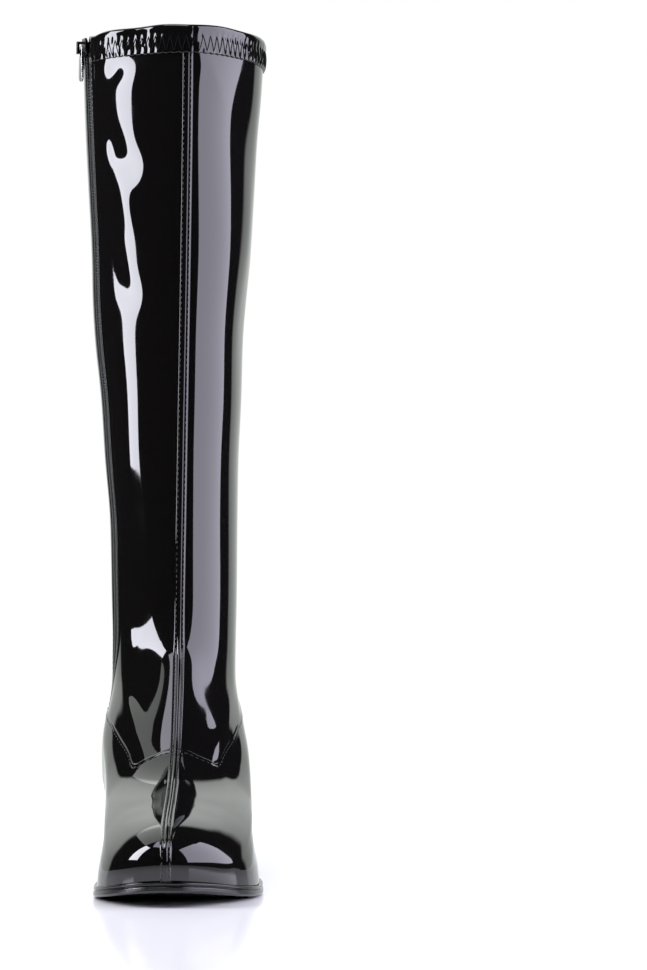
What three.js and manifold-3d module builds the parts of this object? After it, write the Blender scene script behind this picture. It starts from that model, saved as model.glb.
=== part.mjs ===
// A low-heeled, knee-high go go boot for the left foot, in stretch patent: one hollow upper from
// toe to rim, slit on the inner side for a coil zip, on a thin outsole and a block heel.
// Millimetres. +Z is up, the toe points to -Y, the inner (medial) side is -X, and the origin is
// on the floor under the middle of the heel.

import * as THREE from 'three';
import Module from 'manifold-3d';

const wasm = await Module();
wasm.setup();

// Driving dimensions.
const SOLE_LENGTH = 243; // back of the heel to the tip of the toe
const BALL_WIDTH = 81; // the sole across the ball of the foot
const HEEL_BACK = 32; // from the origin back to the end of the sole
const HEEL_HEIGHT = 28; // floor to the underside of the sole at the seat
const TOE_SPRING = 7.5; // lift of the underside at the tip of the toe
const ANKLE_HEIGHT = 117; // floor to the narrowest part of the shaft
const BOOT_HEIGHT = 432; // floor to the rim at the front
const RIM_DIP = 4; // how much lower the rim is at the back
const TOP_WIDTH = 93; // the shaft from side to side under the rim
const TOP_DEPTH = 116; // the shaft from front to back under the rim
const WALL = 1.5; // patent, backing and lining together
const HEM_HEIGHT = 14; // the turned band at the rim
const HEM_STEP = 1.2; // how far the band stands proud
const SEAM_HALF = 2.1; // half the width of the raised front seam
const SEAM_STEP = 0.6; // how far the front seam stands proud
const LAP_STEP = 0.5; // how far the foot part stands proud where it laps over the shaft
const STEP_RUN = 0.5; // length over which such a step rises
const SOLE_THICKNESS = 5.2; // at the forefoot
const SOLE_MARGIN = 2.2; // how far the sole shows outside the upper
const INSOLE_THICKNESS = 2.5;
const INSOLE_EASE = 1.7; // the insole's edge inside the wall
const HEEL_LENGTH = 60; // heel seat from its back to its breast
const HEEL_INSET = 1; // the heel's top edge inside the sole's edge
const HEEL_FOOT = 0.88; // size of the heel's foot as a share of its top
const BREAST_SLOPE = 3; // how far the breast leans under, top to foot
const LIFT_THICKNESS = 5.5; // the rubber top lift under the heel
const GAP = 0.3; // clearance between pieces that meet
const SEAT_GAP = 0.45; // clearance between the upper and the sole, which are both curved

const ZIP_SLIT = 8.4; // opening between the two folded edges
const ZIP_FOOT = 44; // floor to the lower end of the slit
const CHAIN_WIDTH = 5.6;
const CHAIN_THICKNESS = 2;
const TAPE_OVERLAP = 8; // tape hidden behind each edge
const TAPE_THICKNESS = 0.8;
const ZIP_MARGIN = 3; // rim down to the upper end of the zip
const SLIDER_DROP = 7; // rim down to the middle of the slider
const SLIDER_WIDTH = 7.4;
const SLIDER_HEIGHT = 10;
const SLIDER_PLATE = 1.2;
const BRIDGE_WIDTH = 2.2;
const BRIDGE_HEIGHT = 6.4;
const BRIDGE_BAR = 1.2; // thickness of the bridge
const PIN_RADIUS = 0.7; // the pull tab's cross bar
const PIN_PLAY = 0.5; // clearance of that bar under the bridge
const TAB_LENGTH = 17.5; // pivot to the end of the tab
const TAB_WIDTH = 6;
const TAB_THICKNESS = 1.2;

// A short table: the names of its columns, then its rows of shares.
const named = (columns, rows) =>
  rows.map((row) => Object.fromEntries(columns.map((column, n) => [column, row[n]])));

const HALF_BALL = BALL_WIDTH / 2;
const HALF_TOP = TOP_WIDTH / 2;

// The foot from heel to toe. along: share of the sole's length. medial, lateral: the upper's
// edge on the sole; medialBulge, lateralBulge: its widest place above that; all of half the
// ball width, before the toe and heel are rounded. heel, spring: the underside's lift, of the
// heel height and the toe spring. thick: of the sole's thickness.
const FOOT = named(
  ['along', 'medial', 'lateral', 'medialBulge', 'lateralBulge', 'heel', 'spring', 'thick'],
  [
    [0.0, 0.667, 0.716, 0.716, 0.741, 1.02, 0, 0.8],
    [0.08, 0.704, 0.753, 0.753, 0.79, 1.0, 0, 0.8],
    [0.16, 0.704, 0.765, 0.79, 0.815, 0.99, 0, 0.8],
    [0.26, 0.654, 0.778, 0.88, 0.852, 0.94, 0, 0.8],
    [0.36, 0.593, 0.802, 0.94, 0.855, 0.72, 0, 0.82],
    [0.46, 0.605, 0.84, 0.885, 0.885, 0.36, 0, 0.88],
    [0.54, 0.691, 0.877, 0.865, 0.895, 0.1, 0, 0.95],
    [0.61, 0.815, 0.92, 0.862, 0.89, 0, 0, 1],
    [0.69, 0.914, 0.968, 0.862, 0.888, 0, 0, 1],
    [0.76, 0.938, 0.962, 0.862, 0.875, 0, 0, 1],
    [0.82, 0.936, 0.895, 0.856, 0.835, 0, 0.1, 1],
    [0.88, 0.914, 0.815, 0.835, 0.765, 0, 0.32, 1],
    [1.0, 0.864, 0.691, 0.79, 0.65, 0, 1, 1],
  ],
);

// The leg's half widths from instep to rim. up: share of the boot's height. medial, lateral:
// of half the top width. zip: where the zip runs, forward of the origin, of the top depth.
const LEG = named(
  ['up', 'medial', 'lateral', 'zip'],
  [
    [0.093, 0.85, 0.78, 0.345],
    [0.139, 0.845, 0.765, 0.336],
    [0.167, 0.78, 0.69, 0.33],
    [0.197, 0.731, 0.667, 0.322],
    [0.2245, 0.71, 0.641, 0.315],
    [0.271, 0.722, 0.652, 0.302],
    [0.317, 0.735, 0.665, 0.29],
    [0.417, 0.757, 0.675, 0.264],
    [0.488, 0.815, 0.686, 0.248],
    [0.5625, 0.86, 0.72, 0.234],
    [0.6366, 0.933, 0.74, 0.224],
    [0.685, 0.959, 0.778, 0.218],
    [0.734, 0.968, 0.824, 0.214],
    [0.808, 1.002, 0.865, 0.211],
    [0.88, 1.037, 0.903, 0.211],
    [0.928, 1.054, 0.946, 0.211],
    [1.0, 1.075, 0.985, 0.211],
  ],
);

// Lines round the foot, from the sole's edge (first row) to the ankle (last row). front, back:
// where each crosses the ridge of the foot and the back of the heel, of the sole's length.
// frontUp, backUp: how far up from the sole to the ankle. frontX, backX: of half the ball
// width. nose, tail: length of the rounding at each end, of the sole's length. hug: 1 where
// the line follows the sole, 0 where it is straight.
const FOOT_LINES = named(
  ['front', 'frontUp', 'back', 'backUp', 'frontX', 'backX', 'nose', 'tail', 'hug'],
  [
    [0.988, 0, 0.0103, 0, -0.138, 0.025, 0.181, 0.125, 1],
    [0.995, 0.064, 0.005, 0.052, -0.138, 0.025, 0.182, 0.127, 1],
    [0.99, 0.131, 0.0015, 0.111, -0.136, 0.025, 0.183, 0.129, 1],
    [0.966, 0.197, 0, 0.171, -0.132, 0.022, 0.184, 0.131, 1],
    [0.918, 0.262, 0, 0.23, -0.12, 0.018, 0.185, 0.134, 1],
    [0.848, 0.313, 0.003, 0.295, -0.1, 0.012, 0.187, 0.138, 0.97],
    [0.761, 0.366, 0.007, 0.36, -0.072, 0.004, 0.189, 0.143, 0.9],
    [0.655, 0.435, 0.0125, 0.431, -0.044, -0.006, 0.19, 0.149, 0.78],
    [0.59, 0.547, 0.018, 0.508, -0.02, -0.018, 0.19, 0.156, 0.6],
    [0.533, 0.672, 0.023, 0.597, -0.004, -0.032, 0.189, 0.164, 0.4],
    [0.479, 0.784, 0.027, 0.704, 0.008, -0.046, 0.188, 0.172, 0.22],
    [0.432, 0.897, 0.0285, 0.834, 0.014, -0.058, 0.187, 0.18, 0.08],
    [0.401, 1, 0.0285, 1, 0.02, -0.07, 0.186, 0.186, 0],
  ],
);

// Lines round the shaft above the ankle. up: share of the way from ankle to rim. front, back:
// forward and backward of the origin, of the top depth. frontX, backX: of half the top width.
const SHAFT_LINES = named(
  ['up', 'front', 'back', 'frontX', 'backX'],
  [
    [0.06, 0.543, 0.222, 0.022, -0.07],
    [0.15, 0.53, 0.25, 0.03, -0.08],
    [0.26, 0.522, 0.285, 0.042, -0.095],
    [0.38, 0.52, 0.33, 0.055, -0.115],
    [0.5, 0.522, 0.37, 0.07, -0.135],
    [0.62, 0.527, 0.402, 0.083, -0.15],
    [0.74, 0.532, 0.425, 0.095, -0.163],
    [0.86, 0.537, 0.443, 0.105, -0.172],
    [0.94, 0.541, 0.451, 0.11, -0.178],
    [1, 0.545, 0.455, 0.114, -0.182],
  ],
);

// The edge of the foot part where it laps over the shaft, as an M seen from the front. round:
// share of the way from the front seam to the back seam. up: of the ankle height.
const LAP = named(
  ['round', 'up'],
  [
    [0, 0.576],
    [0.03, 0.57],
    [0.062, 0.549],
    [0.092, 0.529],
    [0.118, 0.512],
    [0.128, 0.514],
    [0.146, 0.55],
    [0.195, 0.603],
    [0.26, 0.654],
    [0.34, 0.69],
    [0.48, 0.72],
    [0.7, 0.74],
    [1, 0.7],
  ],
);

const BULGE_UP = 0.24; // of the ankle height: where the foot is widest above the sole
const LEG_FROM = 0.43; // of the ankle height: where the leg's widths start to take over
const LEG_TO = 0.85; // of the ankle height: where they have
const DROP = 3; // how steeply a line drops from the ridge of the foot to the sole

const mix = (a, b, share) => a + (b - a) * share;
const clamp = (value, low, high) => Math.min(high, Math.max(low, value));
const smooth = (share) => {
  const s = clamp(share, 0, 1);
  return s * s * (3 - 2 * s);
};
const sizeSign = (side) => (side === 'medial' ? -1 : 1);

// A column of a table at any place between its rows, without overshoot (Fritsch and Carlson).
function between(table, key, at, column) {
  const x = clamp(at, table[0][key], table[table.length - 1][key]);
  let i = 0;
  while (i < table.length - 2 && x > table[i + 1][key]) i += 1;
  const step = (n) => table[n + 1][key] - table[n][key];
  const rise = (n) => (table[n + 1][column] - table[n][column]) / step(n);
  const slope = (n) => {
    if (n === 0) return rise(0);
    if (n === table.length - 1) return rise(n - 1);
    const before = rise(n - 1);
    const after = rise(n);
    if (before * after <= 0) return 0;
    const w1 = 2 * step(n) + step(n - 1);
    const w2 = step(n) + 2 * step(n - 1);
    return (w1 + w2) / (w1 / before + w2 / after);
  };
  const h = step(i);
  const t = (x - table[i][key]) / h;
  const t2 = t * t;
  const t3 = t2 * t;
  return (
    (2 * t3 - 3 * t2 + 1) * table[i][column] +
    (t3 - 2 * t2 + t) * h * slope(i) +
    (3 * t2 - 2 * t3) * table[i + 1][column] +
    (t3 - t2) * h * slope(i + 1)
  );
}

// The sole in side view.
const alongOf = (y) => (HEEL_BACK - y) / SOLE_LENGTH;
const yOf = (along) => HEEL_BACK - along * SOLE_LENGTH;
function underside(y) {
  const along = alongOf(y);
  return (
    HEEL_HEIGHT * between(FOOT, 'along', along, 'heel') +
    TOE_SPRING * between(FOOT, 'along', along, 'spring')
  );
}
const soleThickness = (y) => SOLE_THICKNESS * between(FOOT, 'along', alongOf(y), 'thick');
const featherHeight = (y) => underside(y) + soleThickness(y);

// The upper's edge on one side at a place of its side view, before its ends are rounded.
function edgeAt(side, y, z) {
  const along = alongOf(y);
  const low = between(FOOT, 'along', along, side);
  const bulge = between(FOOT, 'along', along, side + 'Bulge');
  const above = (z - featherHeight(y)) / (BULGE_UP * ANKLE_HEIGHT);
  const foot = HALF_BALL * mix(low, bulge, smooth(above));
  const leg = HALF_TOP * between(LEG, 'up', z / BOOT_HEIGHT, side);
  const share = (z / ANKLE_HEIGHT - LEG_FROM) / (LEG_TO - LEG_FROM);
  return sizeSign(side) * mix(foot, leg, smooth(share));
}

// The table's lines in millimetres, foot and shaft together.
function footLine(row) {
  const frontY = yOf(row.front);
  const backY = yOf(row.back);
  return {
    frontY,
    backY,
    frontZ: mix(featherHeight(frontY), ANKLE_HEIGHT, row.frontUp),
    backZ: mix(featherHeight(backY), ANKLE_HEIGHT, row.backUp),
    frontX: row.frontX * HALF_BALL,
    backX: row.backX * HALF_BALL,
    nose: row.nose * SOLE_LENGTH,
    tail: row.tail * SOLE_LENGTH,
    hug: row.hug,
  };
}
function shaftLine(row) {
  const frontY = -row.front * TOP_DEPTH;
  const backY = row.back * TOP_DEPTH;
  const half = (backY - frontY) / 2;
  const dip = RIM_DIP * smooth(row.up);
  return {
    frontY,
    backY,
    frontZ: mix(ANKLE_HEIGHT, BOOT_HEIGHT, row.up),
    backZ: mix(ANKLE_HEIGHT, BOOT_HEIGHT, row.up) - dip,
    frontX: row.frontX * HALF_TOP,
    backX: row.backX * HALF_TOP,
    nose: half,
    tail: half,
    hug: 0,
  };
}
const LINES = [...FOOT_LINES.map(footLine), ...SHAFT_LINES.map(shaftLine)];
const LAST_LINE = LINES.length - 1;

// One value between the lines, on a smooth cubic curve that starts and ends on its end lines.
function lineValue(level, column) {
  const i = Math.min(Math.floor(level), LAST_LINE - 1);
  const t = level - i;
  const value = (n) => {
    if (n < 0) return 2 * LINES[0][column] - LINES[1][column];
    if (n > LAST_LINE) return 2 * LINES[LAST_LINE][column] - LINES[LAST_LINE - 1][column];
    return LINES[n][column];
  };
  const t2 = t * t;
  const t3 = t2 * t;
  return (
    ((1 - 3 * t + 3 * t2 - t3) * value(i - 1) +
      (4 - 6 * t2 + 3 * t3) * value(i) +
      (1 + 3 * t + 3 * t2 - 3 * t3) * value(i + 1) +
      t3 * value(i + 2)) /
    6
  );
}

// One line round the upper as a fine closed path: ridge, medial side, back, lateral side.
const HALF_STEPS = 90;
const cap = (share) => (share >= 1 ? 1 : Math.sqrt(Math.max(0, 1 - (1 - share) ** 2)));
function pathAt(level) {
  const line = {};
  for (const column of Object.keys(LINES[0])) line[column] = lineValue(level, column);
  const run = line.backY - line.frontY;
  const frontAbove = line.frontZ - featherHeight(line.frontY);
  const backAbove = line.backZ - featherHeight(line.backY);
  const pointAt = (share, side) => {
    const y = mix(line.frontY, line.backY, share);
    const straight = mix(line.frontZ, line.backZ, share);
    const hugging = featherHeight(y) + mix(backAbove, frontAbove, (1 - share) ** DROP);
    const z = mix(straight, hugging, line.hug);
    const middle = mix(line.frontX, line.backX, share);
    const round = cap((share * run) / line.nose) * cap(((1 - share) * run) / line.tail);
    return new THREE.Vector3(middle + (edgeAt(side, y, z) - middle) * round, y, z);
  };
  const points = [];
  for (let k = 0; k <= HALF_STEPS; k += 1) {
    points.push(pointAt((1 - Math.cos((Math.PI * k) / HALF_STEPS)) / 2, 'medial'));
  }
  for (let k = HALF_STEPS - 1; k >= 0; k -= 1) {
    points.push(pointAt((1 - Math.cos((Math.PI * k) / HALF_STEPS)) / 2, 'lateral'));
  }
  const arcs = [0];
  for (let k = 1; k < points.length; k += 1) {
    arcs.push(arcs[k - 1] + points[k].distanceTo(points[k - 1]));
  }
  return { points, arcs, total: arcs[arcs.length - 1], back: arcs[HALF_STEPS] };
}
function pointOnPath(path, arc) {
  const at = ((arc % path.total) + path.total) % path.total;
  let k = 0;
  while (k < path.points.length - 2 && path.arcs[k + 1] < at) k += 1;
  const share = (at - path.arcs[k]) / (path.arcs[k + 1] - path.arcs[k]);
  return path.points[k].clone().lerp(path.points[k + 1], share);
}

// Where the middle of the zip crosses a path: its arc from the ridge, on the medial side.
const zipY = (z) => -TOP_DEPTH * between(LEG, 'up', z / BOOT_HEIGHT, 'zip');
function zipArc(path) {
  for (let k = 1; k <= HALF_STEPS; k += 1) {
    const p = path.points[k - 1];
    const q = path.points[k];
    const before = p.y - zipY(p.z);
    const after = q.y - zipY(q.z);
    if (before <= 0 && after > 0) return mix(path.arcs[k - 1], path.arcs[k], before / (before - after));
  }
  throw new Error('the zip misses a line');
}
// The level at which the zip reaches a height.
function zipLevel(height) {
  let low = 0;
  let high = LAST_LINE;
  for (let n = 0; n < 30; n += 1) {
    const level = (low + high) / 2;
    const path = pathAt(level);
    if (pointOnPath(path, zipArc(path)).z < height) low = level;
    else high = level;
  }
  return (low + high) / 2;
}
// The level at which the ridge reaches a height above the ankle.
function ridgeLevel(height) {
  let low = FOOT_LINES.length - 1;
  let high = LAST_LINE;
  for (let n = 0; n < 30; n += 1) {
    const level = (low + high) / 2;
    if (lineValue(level, 'frontZ') < height) low = level;
    else high = level;
  }
  return (low + high) / 2;
}

// The grid: rows are levels from sole to rim, columns run round from the front seam.
const TOE_POWER = 1.35; // crowds the columns towards the toe
const FRONT_SPLITS = 11;
const BACK_SPLITS = 7;
const LATERAL_SPLITS = 18;
const ZIP_OFFSETS = [
  -ZIP_SLIT / 2 - TAPE_OVERLAP,
  -ZIP_SLIT / 2 - TAPE_OVERLAP / 2,
  -ZIP_SLIT / 2,
  -CHAIN_WIDTH / 2,
  0,
  CHAIN_WIDTH / 2,
  ZIP_SLIT / 2,
  ZIP_SLIT / 2 + TAPE_OVERLAP / 2,
  ZIP_SLIT / 2 + TAPE_OVERLAP,
];
function columnArcs(path) {
  const zip = zipArc(path);
  const seam = [0, SEAM_HALF, SEAM_HALF + STEP_RUN];
  const arcs = [...seam];
  const tapeFront = zip + ZIP_OFFSETS[0];
  const tapeBack = zip + ZIP_OFFSETS[ZIP_OFFSETS.length - 1];
  const seamOuter = seam[seam.length - 1];
  for (let n = 1; n < FRONT_SPLITS; n += 1) {
    arcs.push(mix(seamOuter, tapeFront, (n / FRONT_SPLITS) ** TOE_POWER));
  }
  for (const offset of ZIP_OFFSETS) arcs.push(zip + offset);
  for (let n = 1; n <= BACK_SPLITS; n += 1) arcs.push(mix(tapeBack, path.back, n / BACK_SPLITS));
  for (let n = 1; n < LATERAL_SPLITS; n += 1) {
    const share = 1 - (1 - n / LATERAL_SPLITS) ** TOE_POWER;
    arcs.push(mix(path.back, path.total - seamOuter, share));
  }
  arcs.push(path.total - seamOuter, path.total - SEAM_HALF);
  return arcs;
}
const FIRST_ZIP_COLUMN = 3 + FRONT_SPLITS - 1;
const SLIT_FRONT = FIRST_ZIP_COLUMN + 2;
const CHAIN_FRONT = SLIT_FRONT + 1;
const ZIP_MIDDLE = CHAIN_FRONT + 1;
const CHAIN_BACK = ZIP_MIDDLE + 1;
const SLIT_BACK = CHAIN_BACK + 1;
const LAST_ZIP_COLUMN = SLIT_BACK + 2;

// The surface at ten paths for each level, from which the grid's rows are taken, and how far
// round each of its points lies, from 0 at the front seam to 1 at the back.
const PATHS_PER_LEVEL = 10;
const FINE_ROWS = LAST_LINE * PATHS_PER_LEVEL;
const FINE_SURFACE = [];
const ROUND_SHARES = [];
for (let n = 0; n <= FINE_ROWS; n += 1) {
  const path = pathAt(n / PATHS_PER_LEVEL);
  const arcs = columnArcs(path);
  FINE_SURFACE.push(arcs.map((arc) => pointOnPath(path, arc)));
  const lateral = path.total - path.back;
  ROUND_SHARES.push(arcs.map((arc) => (arc <= path.back ? arc / path.back : (path.total - arc) / lateral)));
}
const COLUMNS = FINE_SURFACE[0].length;
function surfacePoint(level, j) {
  const at = clamp(level * PATHS_PER_LEVEL, 0, FINE_ROWS);
  const n = Math.min(Math.floor(at), FINE_ROWS - 1);
  return FINE_SURFACE[n][j].clone().lerp(FINE_SURFACE[n + 1][j], at - n);
}
// The level at which each column crosses the edge of the foot part.
const LAP_LEVELS = FINE_SURFACE[0].map((_, j) => {
  const edge = (n) => ANKLE_HEIGHT * between(LAP, 'round', ROUND_SHARES[n][j], 'up');
  const over = (n) => FINE_SURFACE[n][j].z - edge(n);
  let n = 1;
  while (over(n) < 0) n += 1;
  return (n - over(n) / (over(n) - over(n - 1))) / PATHS_PER_LEVEL;
});
const LAP_ROOM = [4.4, 11.4]; // levels between which the rows bend to follow that edge
const LAP_RISE = 0.06; // levels over which the foot part's edge falls to the shaft

const HEM_LEVEL = ridgeLevel(BOOT_HEIGHT - HEM_HEIGHT);
const HEM_FOOT_LEVEL = ridgeLevel(BOOT_HEIGHT - HEM_HEIGHT - STEP_RUN);
const ZIP_TOP_LEVEL = ridgeLevel(BOOT_HEIGHT - ZIP_MARGIN);
const ZIP_FOOT_LEVEL = zipLevel(ZIP_FOOT);
// Rows from sole to rim. A row in the lap's room is a share of the way to the lap's edge, or
// from it to the room's upper end.
function gridRows() {
  const rows = [];
  const level = (value) => rows.push(() => value);
  const [low, high] = LAP_ROOM;
  for (const value of [0, 0.5, 1, 1.5, 2, 2.5, 3, 3.7, low]) level(value);
  // The row nearest to the foot of the zip moves onto it.
  let zipFootRow = 0;
  const away = (n) => Math.abs(rows[n](0) - ZIP_FOOT_LEVEL);
  rows.forEach((_, n) => {
    if (away(n) < away(zipFootRow)) zipFootRow = n;
  });
  rows[zipFootRow] = () => ZIP_FOOT_LEVEL;
  for (const share of [0.25, 0.5, 0.75]) rows.push((j) => mix(low, LAP_LEVELS[j], share));
  const lapRow = rows.push((j) => LAP_LEVELS[j]) - 1;
  rows.push((j) => LAP_LEVELS[j] + LAP_RISE);
  for (const share of [0.25, 0.5, 0.75, 1]) rows.push((j) => mix(LAP_LEVELS[j] + LAP_RISE, high, share));
  for (let value = 12.3; value < HEM_FOOT_LEVEL - 0.3; value += 1) level(value);
  level(HEM_FOOT_LEVEL);
  const hemRow = rows.push(() => HEM_LEVEL) - 1;
  const zipTopRow = rows.push(() => ZIP_TOP_LEVEL) - 1;
  level(LAST_LINE);
  return { rows, zipFootRow, lapRow, hemRow, zipTopRow };
}
const GRID = gridRows();
const ROWS = GRID.rows;
const ZIP_FOOT_ROW = GRID.zipFootRow;
const LAP_ROW = GRID.lapRow;
const HEM_ROW = GRID.hemRow;
const ZIP_TOP_ROW = GRID.zipTopRow;
const SURFACE = ROWS.map((row) => FINE_SURFACE[0].map((_, j) => surfacePoint(row(j), j)));
const TOP_ROW = SURFACE.length - 1;
const wrap = (j) => (j + COLUMNS) % COLUMNS;

function normalAt(i, j) {
  const up = SURFACE[Math.min(i + 1, TOP_ROW)][j].clone().sub(SURFACE[Math.max(i - 1, 0)][j]);
  const round = SURFACE[i][wrap(j + 1)].clone().sub(SURFACE[i][wrap(j - 1)]);
  const normal = up.cross(round);
  if (i === 0 || i === TOP_ROW) normal.z = 0;
  return normal.normalize();
}
const NORMALS = SURFACE.map((row, i) => row.map((_, j) => normalAt(i, j)));

// A point of the upper's own surface, so deep under it. Columns may be split, rows are not.
function under(i, column, depth) {
  const j = Math.floor(column);
  const share = column - j;
  const point = SURFACE[i][wrap(j)].clone().lerp(SURFACE[i][wrap(j + 1)], share);
  const normal = NORMALS[i][wrap(j)].clone().lerp(NORMALS[i][wrap(j + 1)], share).normalize();
  return point.addScaledVector(normal, -depth);
}

// A closed mesh from a list of polygons. Doubled corners are dropped, and all faces are turned
// outwards.
function closedGeometry(polygons) {
  const corners = [];
  for (const polygon of polygons) {
    for (let n = 1; n < polygon.length - 1; n += 1) {
      const triangle = [polygon[0], polygon[n], polygon[n + 1]];
      const doubled =
        triangle[0].distanceTo(triangle[1]) < 1e-3 ||
        triangle[1].distanceTo(triangle[2]) < 1e-3 ||
        triangle[2].distanceTo(triangle[0]) < 1e-3;
      if (!doubled) corners.push(triangle);
    }
  }
  let volume = 0;
  for (const [a, b, c] of corners) volume += a.dot(b.clone().cross(c)) / 6;
  const positions = [];
  for (const [a, b, c] of corners) {
    for (const p of volume > 0 ? [a, b, c] : [a, c, b]) positions.push(p.x, p.y, p.z);
  }
  const geometry = new THREE.BufferGeometry();
  geometry.setAttribute('position', new THREE.Float32BufferAttribute(positions, 3));
  geometry.computeVertexNormals();
  return geometry;
}

// Rings joined from first to last, and closed at both ends by strips across them. Each ring's
// two halves run from its first point to its last.
function lofted(rings) {
  const polygons = [];
  const count = rings[0].length;
  for (let i = 0; i < rings.length - 1; i += 1) {
    for (let j = 0; j < count; j += 1) {
      const k = (j + 1) % count;
      polygons.push([rings[i][j], rings[i][k], rings[i + 1][k], rings[i + 1][j]]);
    }
  }
  const acrossRing = (ring, flip) => {
    for (let k = 0; k < Math.floor(count / 2); k += 1) {
      const polygon = [ring[k], ring[count - 1 - k], ring[count - 2 - k], ring[k + 1]];
      polygons.push(flip ? polygon.reverse() : polygon);
    }
  };
  acrossRing(rings[0], false);
  acrossRing(rings[rings.length - 1], true);
  return closedGeometry(polygons);
}

// The upper: outer and inner wall, joined along the sole, the rim and the zip's slit.
function upperGeometry() {
  const seamColumns = [0, 1, COLUMNS - 1];
  const proud = (i, j) => {
    const seam = seamColumns.includes(j) ? SEAM_STEP : 0;
    const lap = i <= LAP_ROW ? LAP_STEP : 0;
    const hem = i >= HEM_ROW ? HEM_STEP : 0;
    return Math.max(seam + lap, hem);
  };
  const outer = SURFACE.map((row, i) => row.map((_, j) => under(i, j, -proud(i, j))));
  const inner = SURFACE.map((row, i) => row.map((_, j) => under(i, j, WALL)));
  for (const p of [...outer[0], ...inner[0]]) p.z = featherHeight(p.y);
  const inSlit = (i, j) => i >= ZIP_FOOT_ROW && j >= SLIT_FRONT && j < SLIT_BACK;
  const kept = (i, j) => i >= 0 && i < TOP_ROW && !inSlit(i, wrap(j));
  const polygons = [];
  for (let i = 0; i < TOP_ROW; i += 1) {
    for (let j = 0; j < COLUMNS; j += 1) {
      if (!kept(i, j)) continue;
      const k = wrap(j + 1);
      polygons.push([outer[i][j], outer[i][k], outer[i + 1][k], outer[i + 1][j]]);
      polygons.push([inner[i][j], inner[i + 1][j], inner[i + 1][k], inner[i][k]]);
      const wall = (a, b, c, d) => polygons.push([outer[a][b], inner[a][b], inner[c][d], outer[c][d]]);
      if (!kept(i - 1, j)) wall(i, j, i, k);
      if (!kept(i + 1, j)) wall(i + 1, k, i + 1, j);
      if (!kept(i, j - 1)) wall(i + 1, j, i, j);
      if (!kept(i, j + 1)) wall(i, k, i + 1, k);
    }
  }
  return closedGeometry(polygons);
}

// The outline of the foot at the sole's edge, moved outwards by a margin: the tip of the toe
// first, then round by the medial side, and the tip again.
const OUTLINE_SPLITS = 30;
function outline(margin) {
  const path = pathAt(0);
  const flat = path.points.map((p) => new THREE.Vector2(p.x, p.y));
  const last = flat.length - 1;
  const moved = flat.map((p, k) => {
    const before = flat[k === 0 ? last - 1 : k - 1];
    const after = flat[k === last ? 1 : k + 1];
    const along = after.clone().sub(before).normalize();
    return new THREE.Vector2(p.x - along.y * margin, p.y + along.x * margin);
  });
  const every = HALF_STEPS / OUTLINE_SPLITS;
  const points = [];
  for (let k = 0; k <= 2 * OUTLINE_SPLITS; k += 1) points.push(moved[k * every]);
  return points;
}

// The outsole: a thin lip under the upper, a groove, and a rounded edge below it.
// out: how far each ring stands outside the lip. down: share of the thickness.
const SOLE_EDGE = named(
  ['out', 'down'],
  [
    [-0.4, 0],
    [0, 0.07],
    [0, 0.24],
    [-0.7, 0.3],
    [-0.7, 0.36],
    [0.1, 0.44],
    [0.3, 0.62],
    [0, 0.84],
    [-1, 1],
  ],
);
function outsoleGeometry() {
  const rings = SOLE_EDGE.map(({ out, down }) =>
    outline(SOLE_MARGIN + out).map((p) => {
      const top = featherHeight(p.y) - SEAT_GAP;
      return new THREE.Vector3(p.x, p.y, mix(top, underside(p.y), down));
    }),
  );
  return lofted(rings);
}

function insoleGeometry() {
  const ring = (lift, inset) =>
    outline(-WALL - INSOLE_EASE - inset).map((p) => new THREE.Vector3(p.x, p.y, featherHeight(p.y) + lift));
  return lofted([ring(0, 0), ring(INSOLE_THICKNESS, 0)]);
}

// The heel's outline: the back of the sole, cut straight at the breast.
const HEEL_SPLITS = 22;
function heelOutline(share, margin) {
  const breast = HEEL_BACK - HEEL_LENGTH;
  const all = outline(margin);
  const crossing = (from, to) => {
    for (let k = from; k < to; k += 1) {
      const before = all[k].y - breast;
      const after = all[k + 1].y - breast;
      if (before * after <= 0 && before !== after) return k + before / (before - after);
    }
    throw new Error('the heel is longer than the sole');
  };
  const start = crossing(0, OUTLINE_SPLITS);
  const end = crossing(OUTLINE_SPLITS, 2 * OUTLINE_SPLITS);
  const points = [];
  for (let n = 0; n <= HEEL_SPLITS; n += 1) {
    const at = mix(start, end, n / HEEL_SPLITS);
    const k = Math.min(Math.floor(at), all.length - 2);
    const p = all[k].clone().lerp(all[k + 1], at - k);
    const lean = smooth((p.y - breast) / HEEL_LENGTH);
    p.y = p.y * share - BREAST_SLOPE * (1 - share) * (1 - lean);
    p.x *= share;
    points.push(p);
  }
  return points;
}
function heelGeometry() {
  const top = heelOutline(1, SOLE_MARGIN - HEEL_INSET);
  const waist = heelOutline(mix(1, HEEL_FOOT, 0.7), SOLE_MARGIN - HEEL_INSET);
  const foot = heelOutline(HEEL_FOOT, SOLE_MARGIN - HEEL_INSET);
  const topRing = top.map((p) => new THREE.Vector3(p.x, p.y, underside(p.y) - GAP));
  const footZ = LIFT_THICKNESS + GAP;
  const waistZ = mix(footZ, HEEL_HEIGHT, 0.45);
  return lofted([
    topRing,
    waist.map((p) => new THREE.Vector3(p.x, p.y, waistZ)),
    foot.map((p) => new THREE.Vector3(p.x, p.y, footZ)),
  ]);
}
function topLiftGeometry() {
  const flat = heelOutline(HEEL_FOOT, SOLE_MARGIN - HEEL_INSET);
  return lofted([LIFT_THICKNESS, 0].map((z) => flat.map((p) => new THREE.Vector3(p.x, p.y, z))));
}

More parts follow.
